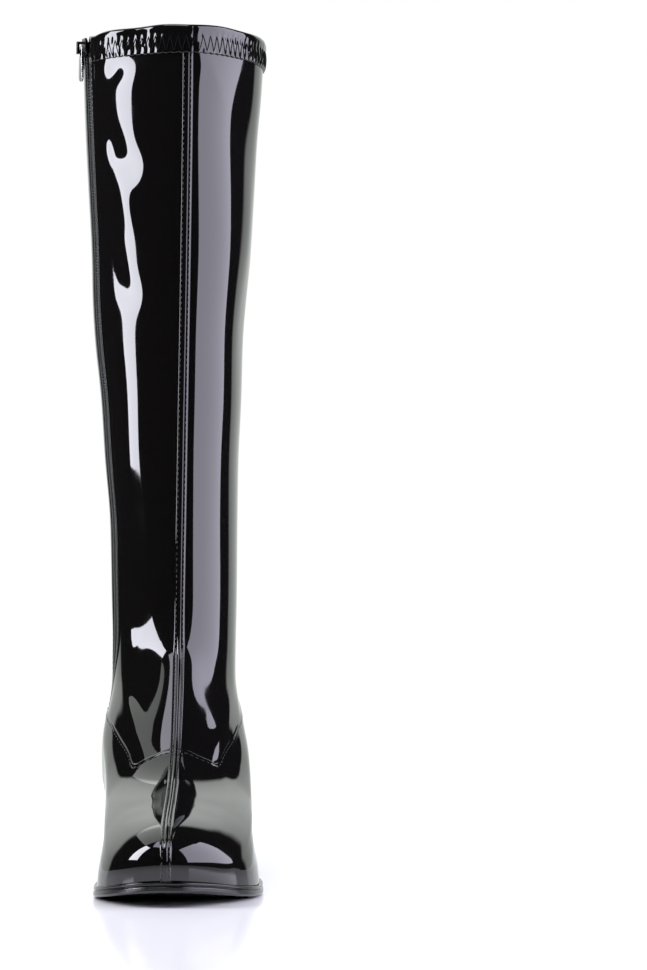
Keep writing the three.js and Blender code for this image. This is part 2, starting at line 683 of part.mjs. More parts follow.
// A ribbon of the zip: a section of (column, depth) pairs, carried along rows of the grid.
function ribbon(section, firstRow, lastRow) {
  const rings = [];
  for (let i = firstRow; i <= lastRow; i += 1) {
    rings.push(section.map(([column, depth]) => under(i, column, depth)));
  }
  const polygons = [];
  const count = section.length;
  for (let i = 0; i < rings.length - 1; i += 1) {
    for (let j = 0; j < count; j += 1) {
      const k = (j + 1) % count;
      polygons.push([rings[i][j], rings[i][k], rings[i + 1][k], rings[i + 1][j]]);
    }
  }
  polygons.push([...rings[0]].reverse(), rings[rings.length - 1]);
  return { polygons, rings };
}
const TAPE_TOP = WALL + GAP; // depth of the tape's outer face
const TAPE_UNDER = TAPE_TOP + TAPE_THICKNESS;
const HALF_GAP_COLUMN = GAP / CHAIN_WIDTH; // half a gap, as a share of half the chain
function tapeGeometry(columns) {
  const there = columns.map((column) => [column, TAPE_TOP]);
  const back = [...columns].reverse().map((column) => [column, TAPE_UNDER]);
  const { polygons, rings } = ribbon([...there, ...back], ZIP_FOOT_ROW - 1, TOP_ROW);
  polygons.splice(-2, 2);
  const n = columns.length;
  for (const [ring, flip] of [[rings[0], true], [rings[rings.length - 1], false]]) {
    for (let k = 0; k < n - 1; k += 1) {
      const polygon = [ring[k], ring[k + 1], ring[2 * n - 2 - k], ring[2 * n - 1 - k]];
      polygons.push(flip ? polygon.reverse() : polygon);
    }
  }
  return closedGeometry(polygons);
}
const CHAIN_UNDER = TAPE_TOP - GAP;
const CHAIN_CREST = CHAIN_UNDER - CHAIN_THICKNESS;
function chainGeometry() {
  const shoulder = mix(CHAIN_UNDER, CHAIN_CREST, 0.6);
  const groove = mix(CHAIN_UNDER, CHAIN_CREST, 0.85);
  const section = [
    [CHAIN_FRONT, CHAIN_UNDER],
    [ZIP_MIDDLE, CHAIN_UNDER],
    [CHAIN_BACK, CHAIN_UNDER],
    [CHAIN_BACK, shoulder],
    [CHAIN_BACK - 0.5, CHAIN_CREST],
    [ZIP_MIDDLE, groove],
    [CHAIN_FRONT + 0.5, CHAIN_CREST],
    [CHAIN_FRONT, shoulder],
  ];
  const { polygons, rings } = ribbon(section, ZIP_FOOT_ROW + 1, TOP_ROW - 1);
  polygons.splice(-2, 2);
  for (const [ring, flip] of [[rings[0], true], [rings[rings.length - 1], false]]) {
    const [a, b, c, d, e, f, g, h] = ring;
    for (const polygon of [[a, b, f, g], [a, g, h], [b, c, e, f], [c, d, e]]) {
      polygons.push(flip ? polygon.reverse() : polygon);
    }
  }
  return closedGeometry(polygons);
}

// Small hard pieces are made flat, then set on the zip: x round the shaft, y outwards, z up.
function frameOnZip(row) {
  const middle = under(row, ZIP_MIDDLE, 0);
  const outward = NORMALS[row][ZIP_MIDDLE].clone();
  outward.z = 0;
  outward.normalize();
  const upward = new THREE.Vector3(0, 0, 1);
  const round = outward.clone().cross(upward);
  const group = new THREE.Group();
  group.matrixAutoUpdate = false;
  group.matrix.makeBasis(round, outward, upward).setPosition(middle);
  return group;
}
function block(width, depth, height, y) {
  return new THREE.BoxGeometry(width, depth, height).translate(0, y, 0);
}
function solidOf(geometry) {
  const position = geometry.getAttribute('position');
  const seen = new Map();
  const vertices = [];
  const triangles = [];
  const index = geometry.index ? geometry.index.array : position.array.map((_, n) => n);
  const count = geometry.index ? index.length : position.count;
  for (let n = 0; n < count; n += 1) {
    const at = index[n];
    const p = [position.getX(at), position.getY(at), position.getZ(at)];
    const key = p.map((value) => value.toFixed(4)).join();
    if (!seen.has(key)) {
      seen.set(key, vertices.length / 3);
      vertices.push(...p);
    }
    triangles.push(seen.get(key));
  }
  return new wasm.Manifold(
    new wasm.Mesh({
      numProp: 3,
      vertProperties: new Float32Array(vertices),
      triVerts: new Uint32Array(triangles),
    }),
  );
}
function geometryOf(solid) {
  const mesh = solid.getMesh();
  const geometry = new THREE.BufferGeometry();
  geometry.setAttribute('position', new THREE.BufferAttribute(mesh.vertProperties.slice(), 3));
  geometry.setIndex(new THREE.BufferAttribute(mesh.triVerts.slice(), 1));
  geometry.computeVertexNormals();
  return geometry;
}

// The slider: a plate over the chain, a flange down each side of it, and the bridge that
// holds the pull tab.
const PLATE_IN = -CHAIN_CREST + GAP; // outward place of the plate's inner face
const PLATE_OUT = PLATE_IN + SLIDER_PLATE;
const PIN_OUT = PLATE_OUT + PIN_PLAY + PIN_RADIUS; // outward place of the pivot
const BRIDGE_OUT = PIN_OUT + PIN_RADIUS + PIN_PLAY + BRIDGE_BAR;
const FLANGE = 0.6;
function sliderGeometry() {
  const plate = new THREE.Shape();
  const half = SLIDER_WIDTH / 2;
  const top = SLIDER_HEIGHT / 2;
  plate.moveTo(-half * 0.6, -top).lineTo(half * 0.6, -top).lineTo(half, -top * 0.4);
  plate.lineTo(half, top * 0.7).lineTo(half * 0.7, top).lineTo(-half * 0.7, top);
  plate.lineTo(-half, top * 0.7).lineTo(-half, -top * 0.4).closePath();
  const flat = new THREE.ExtrudeGeometry(plate, { depth: SLIDER_PLATE, bevelEnabled: false });
  // A drawing in x and y becomes one in x and z, thick along y.
  flat.rotateX(Math.PI / 2).translate(0, PLATE_OUT, 0);
  const flangeDepth = PLATE_IN + CHAIN_UNDER - GAP + SLIDER_PLATE / 2;
  const flangeY = PLATE_IN + SLIDER_PLATE / 2 - flangeDepth / 2;
  const flangeX = CHAIN_WIDTH / 2 + GAP + FLANGE / 2;
  const flange = (side) =>
    block(FLANGE, flangeDepth, SLIDER_HEIGHT * 0.5, flangeY).translate(side * flangeX, 0, 0);
  const bridgeDepth = BRIDGE_OUT - PLATE_OUT + SLIDER_PLATE / 2;
  const bridge = block(BRIDGE_WIDTH, bridgeDepth, BRIDGE_HEIGHT, BRIDGE_OUT - bridgeDepth / 2);
  const openingDepth = BRIDGE_OUT - BRIDGE_BAR - PLATE_OUT;
  const opening = block(
    BRIDGE_WIDTH * 2,
    openingDepth,
    BRIDGE_HEIGHT - 2 * BRIDGE_BAR,
    PLATE_OUT + openingDepth / 2,
  );
  let solid = solidOf(flat);
  for (const side of [-1, 1]) solid = solid.add(solidOf(flange(side)));
  return geometryOf(solid.add(solidOf(bridge)).subtract(solidOf(opening)));
}

// The pull tab hangs from its cross bar, which is its own origin.
function pullTabGeometry() {
  const eyeHalf = BRIDGE_WIDTH / 2 + PIN_PLAY * 0.8;
  const reach = Math.hypot(BRIDGE_HEIGHT / 2, BRIDGE_OUT - PIN_OUT) + PIN_PLAY;
  const half = TAB_WIDTH / 2;
  const neck = half * 0.82;
  const shape = new THREE.Shape();
  const waist = -reach - half / 2;
  shape.moveTo(-neck, PIN_RADIUS).lineTo(-neck, waist);
  for (let n = 0; n <= 12; n += 1) {
    const turn = Math.PI * (1 + n / 12);
    shape.lineTo(half * Math.cos(turn), -TAB_LENGTH + half + half * Math.sin(turn));
  }
  shape.lineTo(neck, waist).lineTo(neck, PIN_RADIUS).closePath();
  const eye = new THREE.Path();
  eye.moveTo(-eyeHalf, -PIN_RADIUS).lineTo(eyeHalf, -PIN_RADIUS);
  eye.lineTo(eyeHalf, -reach).lineTo(-eyeHalf, -reach).closePath();
  shape.holes.push(eye);
  const flat = new THREE.ExtrudeGeometry(shape, { depth: TAB_THICKNESS, bevelEnabled: false });
  return flat.rotateX(Math.PI / 2).translate(0, TAB_THICKNESS / 2, 0);
}

// Finishes.
const finish = (color, roughness, metalness = 0) =>
  new THREE.MeshStandardMaterial({ color, roughness, metalness });
const patent = finish('#0b0a0b', 0.08);
const rubber = finish('#17171a', 0.5);
const lining = finish('#1c1b1d', 0.9);
const webbing = finish('#111112', 0.85);
const nylon = finish('#18181a', 0.45);
const nickel = finish('#8e9093', 0.25, 1);

const boot = new THREE.Group();
boot.name = 'go_go_boot';
function place(name, geometry, material, parent = boot) {
  const mesh = new THREE.Mesh(geometry, material);
  mesh.name = name;
  parent.add(mesh);
  return mesh;
}

place('upper', upperGeometry(), patent);
place('insole', insoleGeometry(), lining);
place('outsole', outsoleGeometry(), rubber);
place('heel', heelGeometry(), patent);
place('heel_top_lift', topLiftGeometry(), rubber);

const frontEdge = ZIP_MIDDLE - HALF_GAP_COLUMN;
const frontTape = [FIRST_ZIP_COLUMN, FIRST_ZIP_COLUMN + 1, SLIT_FRONT, CHAIN_FRONT, frontEdge];
const backEdge = ZIP_MIDDLE + HALF_GAP_COLUMN;
const backTape = [backEdge, CHAIN_BACK, SLIT_BACK, LAST_ZIP_COLUMN - 1, LAST_ZIP_COLUMN];
place('zip_tape_front', tapeGeometry(frontTape), webbing);
place('zip_tape_back', tapeGeometry(backTape), webbing);
place('zip_chain', chainGeometry(), nylon);

const sliderFrame = frameOnZip(ZIP_TOP_ROW);
boot.add(sliderFrame);
const sliderLift = BOOT_HEIGHT - SLIDER_DROP - under(ZIP_TOP_ROW, ZIP_MIDDLE, 0).z;
const slider = place('zip_slider', sliderGeometry(), nickel, sliderFrame);
slider.position.z = sliderLift;
const tab = place('zip_pull_tab', pullTabGeometry(), nickel, sliderFrame);
tab.position.set(0, PIN_OUT, sliderLift);

export default boot;
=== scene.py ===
"""A knee-high go go boot for the left foot, in black stretch patent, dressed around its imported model."""

import math

import bmesh
import bpy
import numpy as np
from mathutils import Matrix, Vector


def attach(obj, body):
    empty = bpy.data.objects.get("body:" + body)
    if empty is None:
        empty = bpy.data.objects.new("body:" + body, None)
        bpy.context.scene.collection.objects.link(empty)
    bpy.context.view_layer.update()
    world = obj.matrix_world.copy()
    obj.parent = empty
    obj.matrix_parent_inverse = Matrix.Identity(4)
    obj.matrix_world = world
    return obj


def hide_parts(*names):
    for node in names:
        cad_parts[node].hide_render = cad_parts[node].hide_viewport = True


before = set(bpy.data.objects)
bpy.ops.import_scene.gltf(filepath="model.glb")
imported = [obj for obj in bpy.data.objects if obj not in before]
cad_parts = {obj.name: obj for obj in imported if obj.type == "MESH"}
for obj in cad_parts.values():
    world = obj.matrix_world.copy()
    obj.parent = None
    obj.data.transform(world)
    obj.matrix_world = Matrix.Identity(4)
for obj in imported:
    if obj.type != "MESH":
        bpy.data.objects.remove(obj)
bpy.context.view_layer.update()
scene = bpy.context.scene

# Camera: a little below the boot's middle and straight in front of the toe, 1.8 m away, turned
# a little to the right, so that the boot stands in the left half of the picture.
LENS_MM = 126.6
SENSOR_MM = 36.0
CAMERA_PLACE = (0.0, -1.8, 0.190)
CAMERA_PAN = math.radians(2.45)
CAMERA_TILT = math.radians(0.26)


def placed(name, data):
    """A new object in the scene, at the origin."""
    thing = bpy.data.objects.new(name, data)
    scene.collection.objects.link(thing)
    return thing


camera = placed("camera", bpy.data.cameras.new("camera"))
camera.data.lens = LENS_MM
camera.data.sensor_width = SENSOR_MM
camera.location = CAMERA_PLACE
camera.rotation_euler = (math.pi / 2 + CAMERA_TILT, 0.0, -CAMERA_PAN)
scene.camera = camera

# Studio: a glossy white table that fades out round the boot, in a room that is white behind it
# and dark in front. A narrow bright softbox stands on the left and a large dim one on the
# right, and a softbox and a white panel hang overhead.


def linear(hex_colour):
    """A colour written as an sRGB hex number, as linear red, green, blue and alpha."""
    parts = [((hex_colour >> shift) & 255) / 255 for shift in (16, 8, 0)]
    return [c / 12.92 if c <= 0.04045 else ((c + 0.055) / 1.055) ** 2.4 for c in parts] + [1.0]


def add(tree, kind, links=None, **settings):
    """Adds a node; links maps an input to an output socket or a value, settings are its own."""
    node = tree.nodes.new(kind)
    for name, value in settings.items():
        setattr(node, name, value)
    for name, value in (links or {}).items():
        if isinstance(value, bpy.types.NodeSocket):
            tree.links.new(value, node.inputs[name])
        else:
            node.inputs[name].default_value = value
    return node


def new_material(name):
    """An empty material: its tree and its output node."""
    material = bpy.data.materials.new(name)
    material.use_nodes = True
    material.node_tree.nodes.clear()
    return material, material.node_tree, add(material.node_tree, "ShaderNodeOutputMaterial")


def softbox(name, place, target, width, height, power, colour=0xFFFFFF):
    """A rectangular light that faces a point and isn't seen by the camera itself."""
    data = bpy.data.lights.new(name, "AREA")
    data.shape = "RECTANGLE"
    data.size = width
    data.size_y = height
    data.energy = power
    data.color = linear(colour)[:3]
    lamp = placed(name, data)
    lamp.location = place
    towards = Vector(target) - Vector(place)
    lamp.rotation_euler = towards.to_track_quat("-Z", "Y").to_euler()
    lamp.visible_camera = False


softbox("left_softbox", (-0.632, -0.194, 0.525), (0.0, -0.02, 0.5), 0.24, 0.67, 8.8, 0xF4F4FF)
softbox("right_softbox", (0.882, -0.267, 0.73), (0.01, 0.03, 0.68), 1.3, 1.18, 30.5, 0xE4E2F4)
softbox("top_softbox", (-0.35, -0.5, 1.9), (0.0, -0.05, 0.0), 1.1, 0.7, 14.0, 0xE8E6F4)
softbox("ceiling_panel", (-0.62, 1.02, 1.9), (-0.62, 1.02, 0.0), 1.75, 1.84, 18.0, 0xFAFFFB)

scene.view_settings.view_transform = "Standard"
world = bpy.data.worlds.new("studio")
scene.world = world
world.use_nodes = True
tree = world.node_tree
tree.nodes.clear()
place = add(tree, "ShaderNodeTexCoord")
axes = add(tree, "ShaderNodeSeparateXYZ", {0: place.outputs["Generated"]})
overhead = add(
    tree,
    "ShaderNodeMapRange",
    {"Value": axes.outputs["Z"], "From Min": 0.1, "From Max": 0.55, "To Min": 0.95, "To Max": 1.9},
)
behind = add(
    tree,
    "ShaderNodeMapRange",
    {
        "Value": axes.outputs["Y"],
        "From Min": 0.65,
        "From Max": 0.72,
        "To Min": 0.012,
        "To Max": overhead.outputs[0],
    },
    interpolation_type="SMOOTHSTEP",
)
room = add(
    tree, "ShaderNodeBackground", {"Color": linear(0xFAFFFB), "Strength": behind.outputs[0]}
)
paper = add(tree, "ShaderNodeBackground", {"Color": (1.0, 1.0, 1.0, 1.0), "Strength": 1.0})
rays = add(tree, "ShaderNodeLightPath")
seen = add(tree, "ShaderNodeMixShader", {0: rays.outputs["Is Camera Ray"]})
tree.links.new(room.outputs[0], seen.inputs[1])
tree.links.new(paper.outputs[0], seen.inputs[2])
add(tree, "ShaderNodeOutputWorld", {"Surface": seen.outputs[0]})

FLOOR_RADIUS = 0.75
FLOOR_FADE = 0.42
FLOOR_SIDES = 96
FLOOR_MIDDLE = (0.0, -0.06, 0.0)
angles = np.linspace(0, 2 * math.pi, FLOOR_SIDES + 1)[:-1]
ring = [(FLOOR_RADIUS * math.cos(a), FLOOR_RADIUS * math.sin(a) + FLOOR_MIDDLE[1], 0.0) for a in angles]
floor_mesh = bpy.data.meshes.new("floor")
floor_mesh.from_pydata(ring, [], [list(range(FLOOR_SIDES))])
floor = placed("floor", floor_mesh)
gloss_white, tree, output = new_material("gloss_white_acrylic")
place = add(tree, "ShaderNodeTexCoord")
away = add(
    tree,
    "ShaderNodeVectorMath",
    {0: place.outputs["Object"], 1: FLOOR_MIDDLE},
    operation="DISTANCE",
)
fade = add(
    tree,
    "ShaderNodeMapRange",
    {
        "Value": away.outputs["Value"],
        "From Min": FLOOR_FADE,
        "From Max": FLOOR_RADIUS,
        "To Min": 1.0,
        "To Max": 0.0,
    },
    interpolation_type="SMOOTHSTEP",
)
white = add(
    tree,
    "ShaderNodeBsdfPrincipled",
    {"Base Color": linear(0xFAFAFA), "Roughness": 0.13, "IOR": 1.45},
)
clear = add(tree, "ShaderNodeBsdfTransparent")
faded = add(tree, "ShaderNodeMixShader", {0: fade.outputs[0]})
tree.links.new(clear.outputs[0], faded.inputs[1])
tree.links.new(white.outputs[0], faded.inputs[2])
tree.links.new(faded.outputs[0], output.inputs["Surface"])
floor_mesh.materials.append(gloss_white)

# The last: the form that the upper is pulled over, as lines round the foot and leg, stacked
# from the edge of the sole to the rim. Lengths are millimetres, and the tables hold shares of
# the named sizes. A level is a line's number, and a turn is a place round it.
MM = 0.001
SOLE_LENGTH = 243.0
BALL_WIDTH = 81.0
HEEL_BACK = 32.0
HEEL_HEIGHT = 28.0
TOE_SPRING = 7.5
ANKLE_HEIGHT = 117.0
BOOT_HEIGHT = 432.0
RIM_DIP = 4.0
TOP_WIDTH = 93.0
TOP_DEPTH = 116.0
SOLE_THICKNESS = 5.2
BULGE_UP = 0.24
LEG_FROM = 0.43
LEG_TO = 0.85
DROP = 3


def named(columns, rows):
    """A short table: the names of its columns, then its rows."""
    return dict(zip(columns.split(), np.array(rows, float).T))


# Round the foot from heel to toe, as shares of the sole's length and of half the ball width.
FOOT = named(
    "along medial lateral medial_bulge lateral_bulge heel spring thick",
    [
        [0.0, 0.667, 0.716, 0.716, 0.741, 1.02, 0, 0.8],
        [0.08, 0.704, 0.753, 0.753, 0.79, 1.0, 0, 0.8],
        [0.16, 0.704, 0.765, 0.79, 0.815, 0.99, 0, 0.8],
        [0.26, 0.654, 0.778, 0.88, 0.852, 0.94, 0, 0.8],
        [0.36, 0.593, 0.802, 0.94, 0.855, 0.72, 0, 0.82],
        [0.46, 0.605, 0.84, 0.885, 0.885, 0.36, 0, 0.88],
        [0.54, 0.691, 0.877, 0.865, 0.895, 0.1, 0, 0.95],
        [0.61, 0.815, 0.92, 0.862, 0.89, 0, 0, 1],
        [0.69, 0.914, 0.968, 0.862, 0.888, 0, 0, 1],
        [0.76, 0.938, 0.962, 0.862, 0.875, 0, 0, 1],
        [0.82, 0.936, 0.895, 0.856, 0.835, 0, 0.1, 1],
        [0.88, 0.914, 0.815, 0.835, 0.765, 0, 0.32, 1],
        [1.0, 0.864, 0.691, 0.79, 0.65, 0, 1, 1],
    ],
)
# Up the leg, as shares of the boot's height, of half the top width and of the top depth.
LEG = named(
    "up medial lateral zip",
    [
        [0.093, 0.85, 0.78, 0.345],
        [0.139, 0.845, 0.765, 0.336],
        [0.167, 0.78, 0.69, 0.33],
        [0.197, 0.731, 0.667, 0.322],
        [0.2245, 0.71, 0.641, 0.315],
        [0.271, 0.722, 0.652, 0.302],
        [0.317, 0.735, 0.665, 0.29],
        [0.417, 0.757, 0.675, 0.264],
        [0.488, 0.815, 0.686, 0.248],
        [0.5625, 0.86, 0.72, 0.234],
        [0.6366, 0.933, 0.74, 0.224],
        [0.685, 0.959, 0.778, 0.218],
        [0.734, 0.968, 0.824, 0.214],
        [0.808, 1.002, 0.865, 0.211],
        [0.88, 1.037, 0.903, 0.211],
        [0.928, 1.054, 0.946, 0.211],
        [1.0, 1.075, 0.985, 0.211],
    ],
)
FOOT_LINES = named(
    "front front_up back back_up front_x back_x nose tail hug",
    [
        [0.988, 0, 0.0103, 0, -0.138, 0.025, 0.181, 0.125, 1],
        [0.995, 0.064, 0.005, 0.052, -0.138, 0.025, 0.182, 0.127, 1],
        [0.99, 0.131, 0.0015, 0.111, -0.136, 0.025, 0.183, 0.129, 1],
        [0.966, 0.197, 0, 0.171, -0.132, 0.022, 0.184, 0.131, 1],
        [0.918, 0.262, 0, 0.23, -0.12, 0.018, 0.185, 0.134, 1],
        [0.848, 0.313, 0.003, 0.295, -0.1, 0.012, 0.187, 0.138, 0.97],
        [0.761, 0.366, 0.007, 0.36, -0.072, 0.004, 0.189, 0.143, 0.9],
        [0.655, 0.435, 0.0125, 0.431, -0.044, -0.006, 0.19, 0.149, 0.78],
        [0.59, 0.547, 0.018, 0.508, -0.02, -0.018, 0.19, 0.156, 0.6],
        [0.533, 0.672, 0.023, 0.597, -0.004, -0.032, 0.189, 0.164, 0.4],
        [0.479, 0.784, 0.027, 0.704, 0.008, -0.046, 0.188, 0.172, 0.22],
        [0.432, 0.897, 0.0285, 0.834, 0.014, -0.058, 0.187, 0.18, 0.08],
        [0.401, 1, 0.0285, 1, 0.02, -0.07, 0.186, 0.186, 0],
    ],
)
SHAFT_LINES = named(
    "up front back front_x back_x",
    [
        [0.06, 0.543, 0.222, 0.022, -0.07],
        [0.15, 0.53, 0.25, 0.03, -0.08],
        [0.26, 0.522, 0.285, 0.042, -0.095],
        [0.38, 0.52, 0.33, 0.055, -0.115],
        [0.5, 0.522, 0.37, 0.07, -0.135],
        [0.62, 0.527, 0.402, 0.083, -0.15],
        [0.74, 0.532, 0.425, 0.095, -0.163],
        [0.86, 0.537, 0.443, 0.105, -0.172],
        [0.94, 0.541, 0.451, 0.11, -0.178],
        [1, 0.545, 0.455, 0.114, -0.182],
    ],
)


def mix(a, b, share):
    return a + (b - a) * share


def smooth(share):
    share = np.clip(share, 0, 1)
    return share * share * (3 - 2 * share)


def between(table, key, at, name):
    """A column of a table between its rows, without overshoot."""
    x, y = table[key], table[name]
    step = np.diff(x)
    rise = np.diff(y) / step
    same = rise[:-1] * rise[1:] > 0
    before, after = np.where(same, rise[:-1], 1), np.where(same, rise[1:], 1)
    w1, w2 = 2 * step[1:] + step[:-1], step[1:] + 2 * step[:-1]
    inner = np.where(same, (w1 + w2) / (w1 / before + w2 / after), 0)
    slope = np.concatenate([rise[:1], inner, rise[-1:]])
    at = np.clip(at, x[0], x[-1])
    i = np.clip(np.searchsorted(x, at, side="right") - 1, 0, len(step) - 1)
    t = (at - x[i]) / step[i]
    t2, t3 = t * t, t * t * t
    return (
        (2 * t3 - 3 * t2 + 1) * y[i]
        + (t3 - 2 * t2 + t) * step[i] * slope[i]
        + (3 * t2 - 2 * t3) * y[i + 1]
        + (t3 - t2) * step[i] * slope[i + 1]
    )


def eased(table, key, name, spread):
    """The same column as a function, rounded over a spread so that its bends don't show."""
    low, high = table[key][0], table[key][-1]
    x = np.linspace(low - 3 * spread, high + 3 * spread, 1601)
    bell = np.exp(-0.5 * ((x - x.mean()) / spread) ** 2)
    inner = np.convolve(between(table, key, x, name), bell / bell.sum(), mode="same")
    keep = (x >= low) & (x <= high)
    return lambda at: np.interp(at, x[keep], inner[keep])


FOOT_EASE = 0.018
LEG_EASE = 0.012
foot_width = {
    name: eased(FOOT, "along", name, FOOT_EASE)
    for name in ("medial", "lateral", "medial_bulge", "lateral_bulge")
}
leg_width = {name: eased(LEG, "up", name, LEG_EASE) for name in ("medial", "lateral")}


def underside(y):
    along = (HEEL_BACK - y) / SOLE_LENGTH
    heel, spring = between(FOOT, "along", along, "heel"), between(FOOT, "along", along, "spring")
    return HEEL_HEIGHT * heel + TOE_SPRING * spring


def feather(y):
    """Height of the edge where the upper meets the sole."""
    along = (HEEL_BACK - y) / SOLE_LENGTH
    return underside(y) + SOLE_THICKNESS * between(FOOT, "along", along, "thick")


def edge_at(side, y, z):
    """Half width of one side at a place of the side view, before toe and heel are rounded."""
    along = np.clip((HEEL_BACK - y) / SOLE_LENGTH, 0, 1)
    above = (z - feather(y)) / (BULGE_UP * ANKLE_HEIGHT)
    foot = mix(foot_width[side](along), foot_width[side + "_bulge"](along), smooth(above))
    leg = leg_width[side](z / BOOT_HEIGHT)
    share = (z / ANKLE_HEIGHT - LEG_FROM) / (LEG_TO - LEG_FROM)
    return mix(BALL_WIDTH / 2 * foot, TOP_WIDTH / 2 * leg, smooth(share))


def last_lines():
    """Both tables of lines, in millimetres."""
    f, s = FOOT_LINES, SHAFT_LINES
    front, back = HEEL_BACK - SOLE_LENGTH * f["front"], HEEL_BACK - SOLE_LENGTH * f["back"]
    foot = {
        "front_y": front,
        "back_y": back,
        "front_z": mix(feather(front), ANKLE_HEIGHT, f["front_up"]),
        "back_z": mix(feather(back), ANKLE_HEIGHT, f["back_up"]),
        "front_x": f["front_x"] * BALL_WIDTH / 2,
        "back_x": f["back_x"] * BALL_WIDTH / 2,
        "nose": f["nose"] * SOLE_LENGTH,
        "tail": f["tail"] * SOLE_LENGTH,
        "hug": f["hug"],
    }
    front, back = -TOP_DEPTH * s["front"], TOP_DEPTH * s["back"]
    height = mix(ANKLE_HEIGHT, BOOT_HEIGHT, s["up"])
    shaft = {
        "front_y": front,
        "back_y": back,
        "front_z": height,
        "back_z": height - RIM_DIP * smooth(s["up"]),
        "front_x": s["front_x"] * TOP_WIDTH / 2,
        "back_x": s["back_x"] * TOP_WIDTH / 2,
        "nose": (back - front) / 2,
        "tail": (back - front) / 2,
        "hug": 0 * front,
    }
    return {name: np.concatenate([foot[name], shaft[name]]) for name in foot}


LINES = last_lines()
ANKLE_LEVEL = len(FOOT_LINES["hug"]) - 1
LAST_LEVEL = len(LINES["hug"]) - 1


def line_value(level, name):
    """A value between the lines, on a smooth curve that starts and ends on its end lines."""
    v = LINES[name]
    v = np.concatenate([[2 * v[0] - v[1]], v, [2 * v[-1] - v[-2]]])
    i = np.clip(np.floor(level).astype(int), 0, LAST_LEVEL - 1)
    t = level - i
    t2, t3 = t * t, t * t * t
    return (
        (1 - 3 * t + 3 * t2 - t3) * v[i]
        + (4 - 6 * t2 + 3 * t3) * v[i + 1]
        + (1 + 3 * t + 3 * t2 - 3 * t3) * v[i + 2]
        + t3 * v[i + 3]
    ) / 6


def cap(share):
    return np.sqrt(np.clip(1 - (1 - np.minimum(share, 1)) ** 2, 0, 1))


def last_point(level, turn):
    """A point of the last. turn runs from 0 at the front by the inner side to 1 at the back,
    and on by the outer side to 2 at the front again."""
    level, turn = np.broadcast_arrays(np.asarray(level, float), np.asarray(turn, float))
    line = {name: line_value(level, name) for name in LINES}
    inner = turn <= 1
    share = (1 - np.cos(np.pi * np.where(inner, turn, 2 - turn))) / 2
    run = line["back_y"] - line["front_y"]
    y = mix(line["front_y"], line["back_y"], share)
    straight = mix(line["front_z"], line["back_z"], share)
    front_above = line["front_z"] - feather(line["front_y"])
    back_above = line["back_z"] - feather(line["back_y"])
    hugging = feather(y) + mix(back_above, front_above, (1 - share) ** DROP)
    z = mix(straight, hugging, line["hug"])
    middle = mix(line["front_x"], line["back_x"], share)
    rounded = cap(share * run / line["nose"]) * cap((1 - share) * run / line["tail"])
    edge = np.where(inner, -edge_at("medial", y, z), edge_at("lateral", y, z))
    return np.stack([middle + (edge - middle) * rounded, y, z], axis=-1)


# Upper: the cut pieces of black stretch patent, a mirror film on a knit. The foot part laps
# over the shaft and is stitched through it, both are folded under beside the zip, and a
# raised seam with two rows of stitches runs from the toe up the front to the rim.
LINING_DEPTH = 0.7
WALL = 1.5
HEM_HEIGHT = 14.0
LAP_STEP = 0.5
LAP_UNDER = 0.35
SEAM_STEP = 0.6
SEAM_EDGE = 1.9
STITCH_ROW = 1.65
LAP_ROW = 1.5
ZIP_SLIT = 8.4
ZIP_FOOT = 44.0
ZIP_ROW = 1.7
SEAM_COLUMNS = [0, 0.18, 0.38, 0.62, 0.8, 0.95, 1.12, 1.35, 1.65, 1.92, 2.15, 2.4, 3.0]
FOLD_COLUMNS = [0, 0.1, 0.25, 0.5, 0.9, 1.25, 1.52, 1.7, 1.88, 2.15, 2.6, 3.4]
GAP_COLUMNS = 9
FRONT_SPLITS = 46
BACK_SPLITS = 30
LATERAL_SPLITS = 80
TOE_POWER = 1.25

# The edge of the foot part, from the front seam to the back seam.
LAP = named(
    "round up",
    [
        [0, 0.576],
        [0.03, 0.57],
        [0.062, 0.549],
        [0.092, 0.529],
        [0.118, 0.512],
        [0.128, 0.514],
        [0.146, 0.55],
        [0.195, 0.603],
        [0.26, 0.654],
        [0.34, 0.69],
        [0.48, 0.72],
        [0.7, 0.74],
        [1, 0.7],
    ],
)
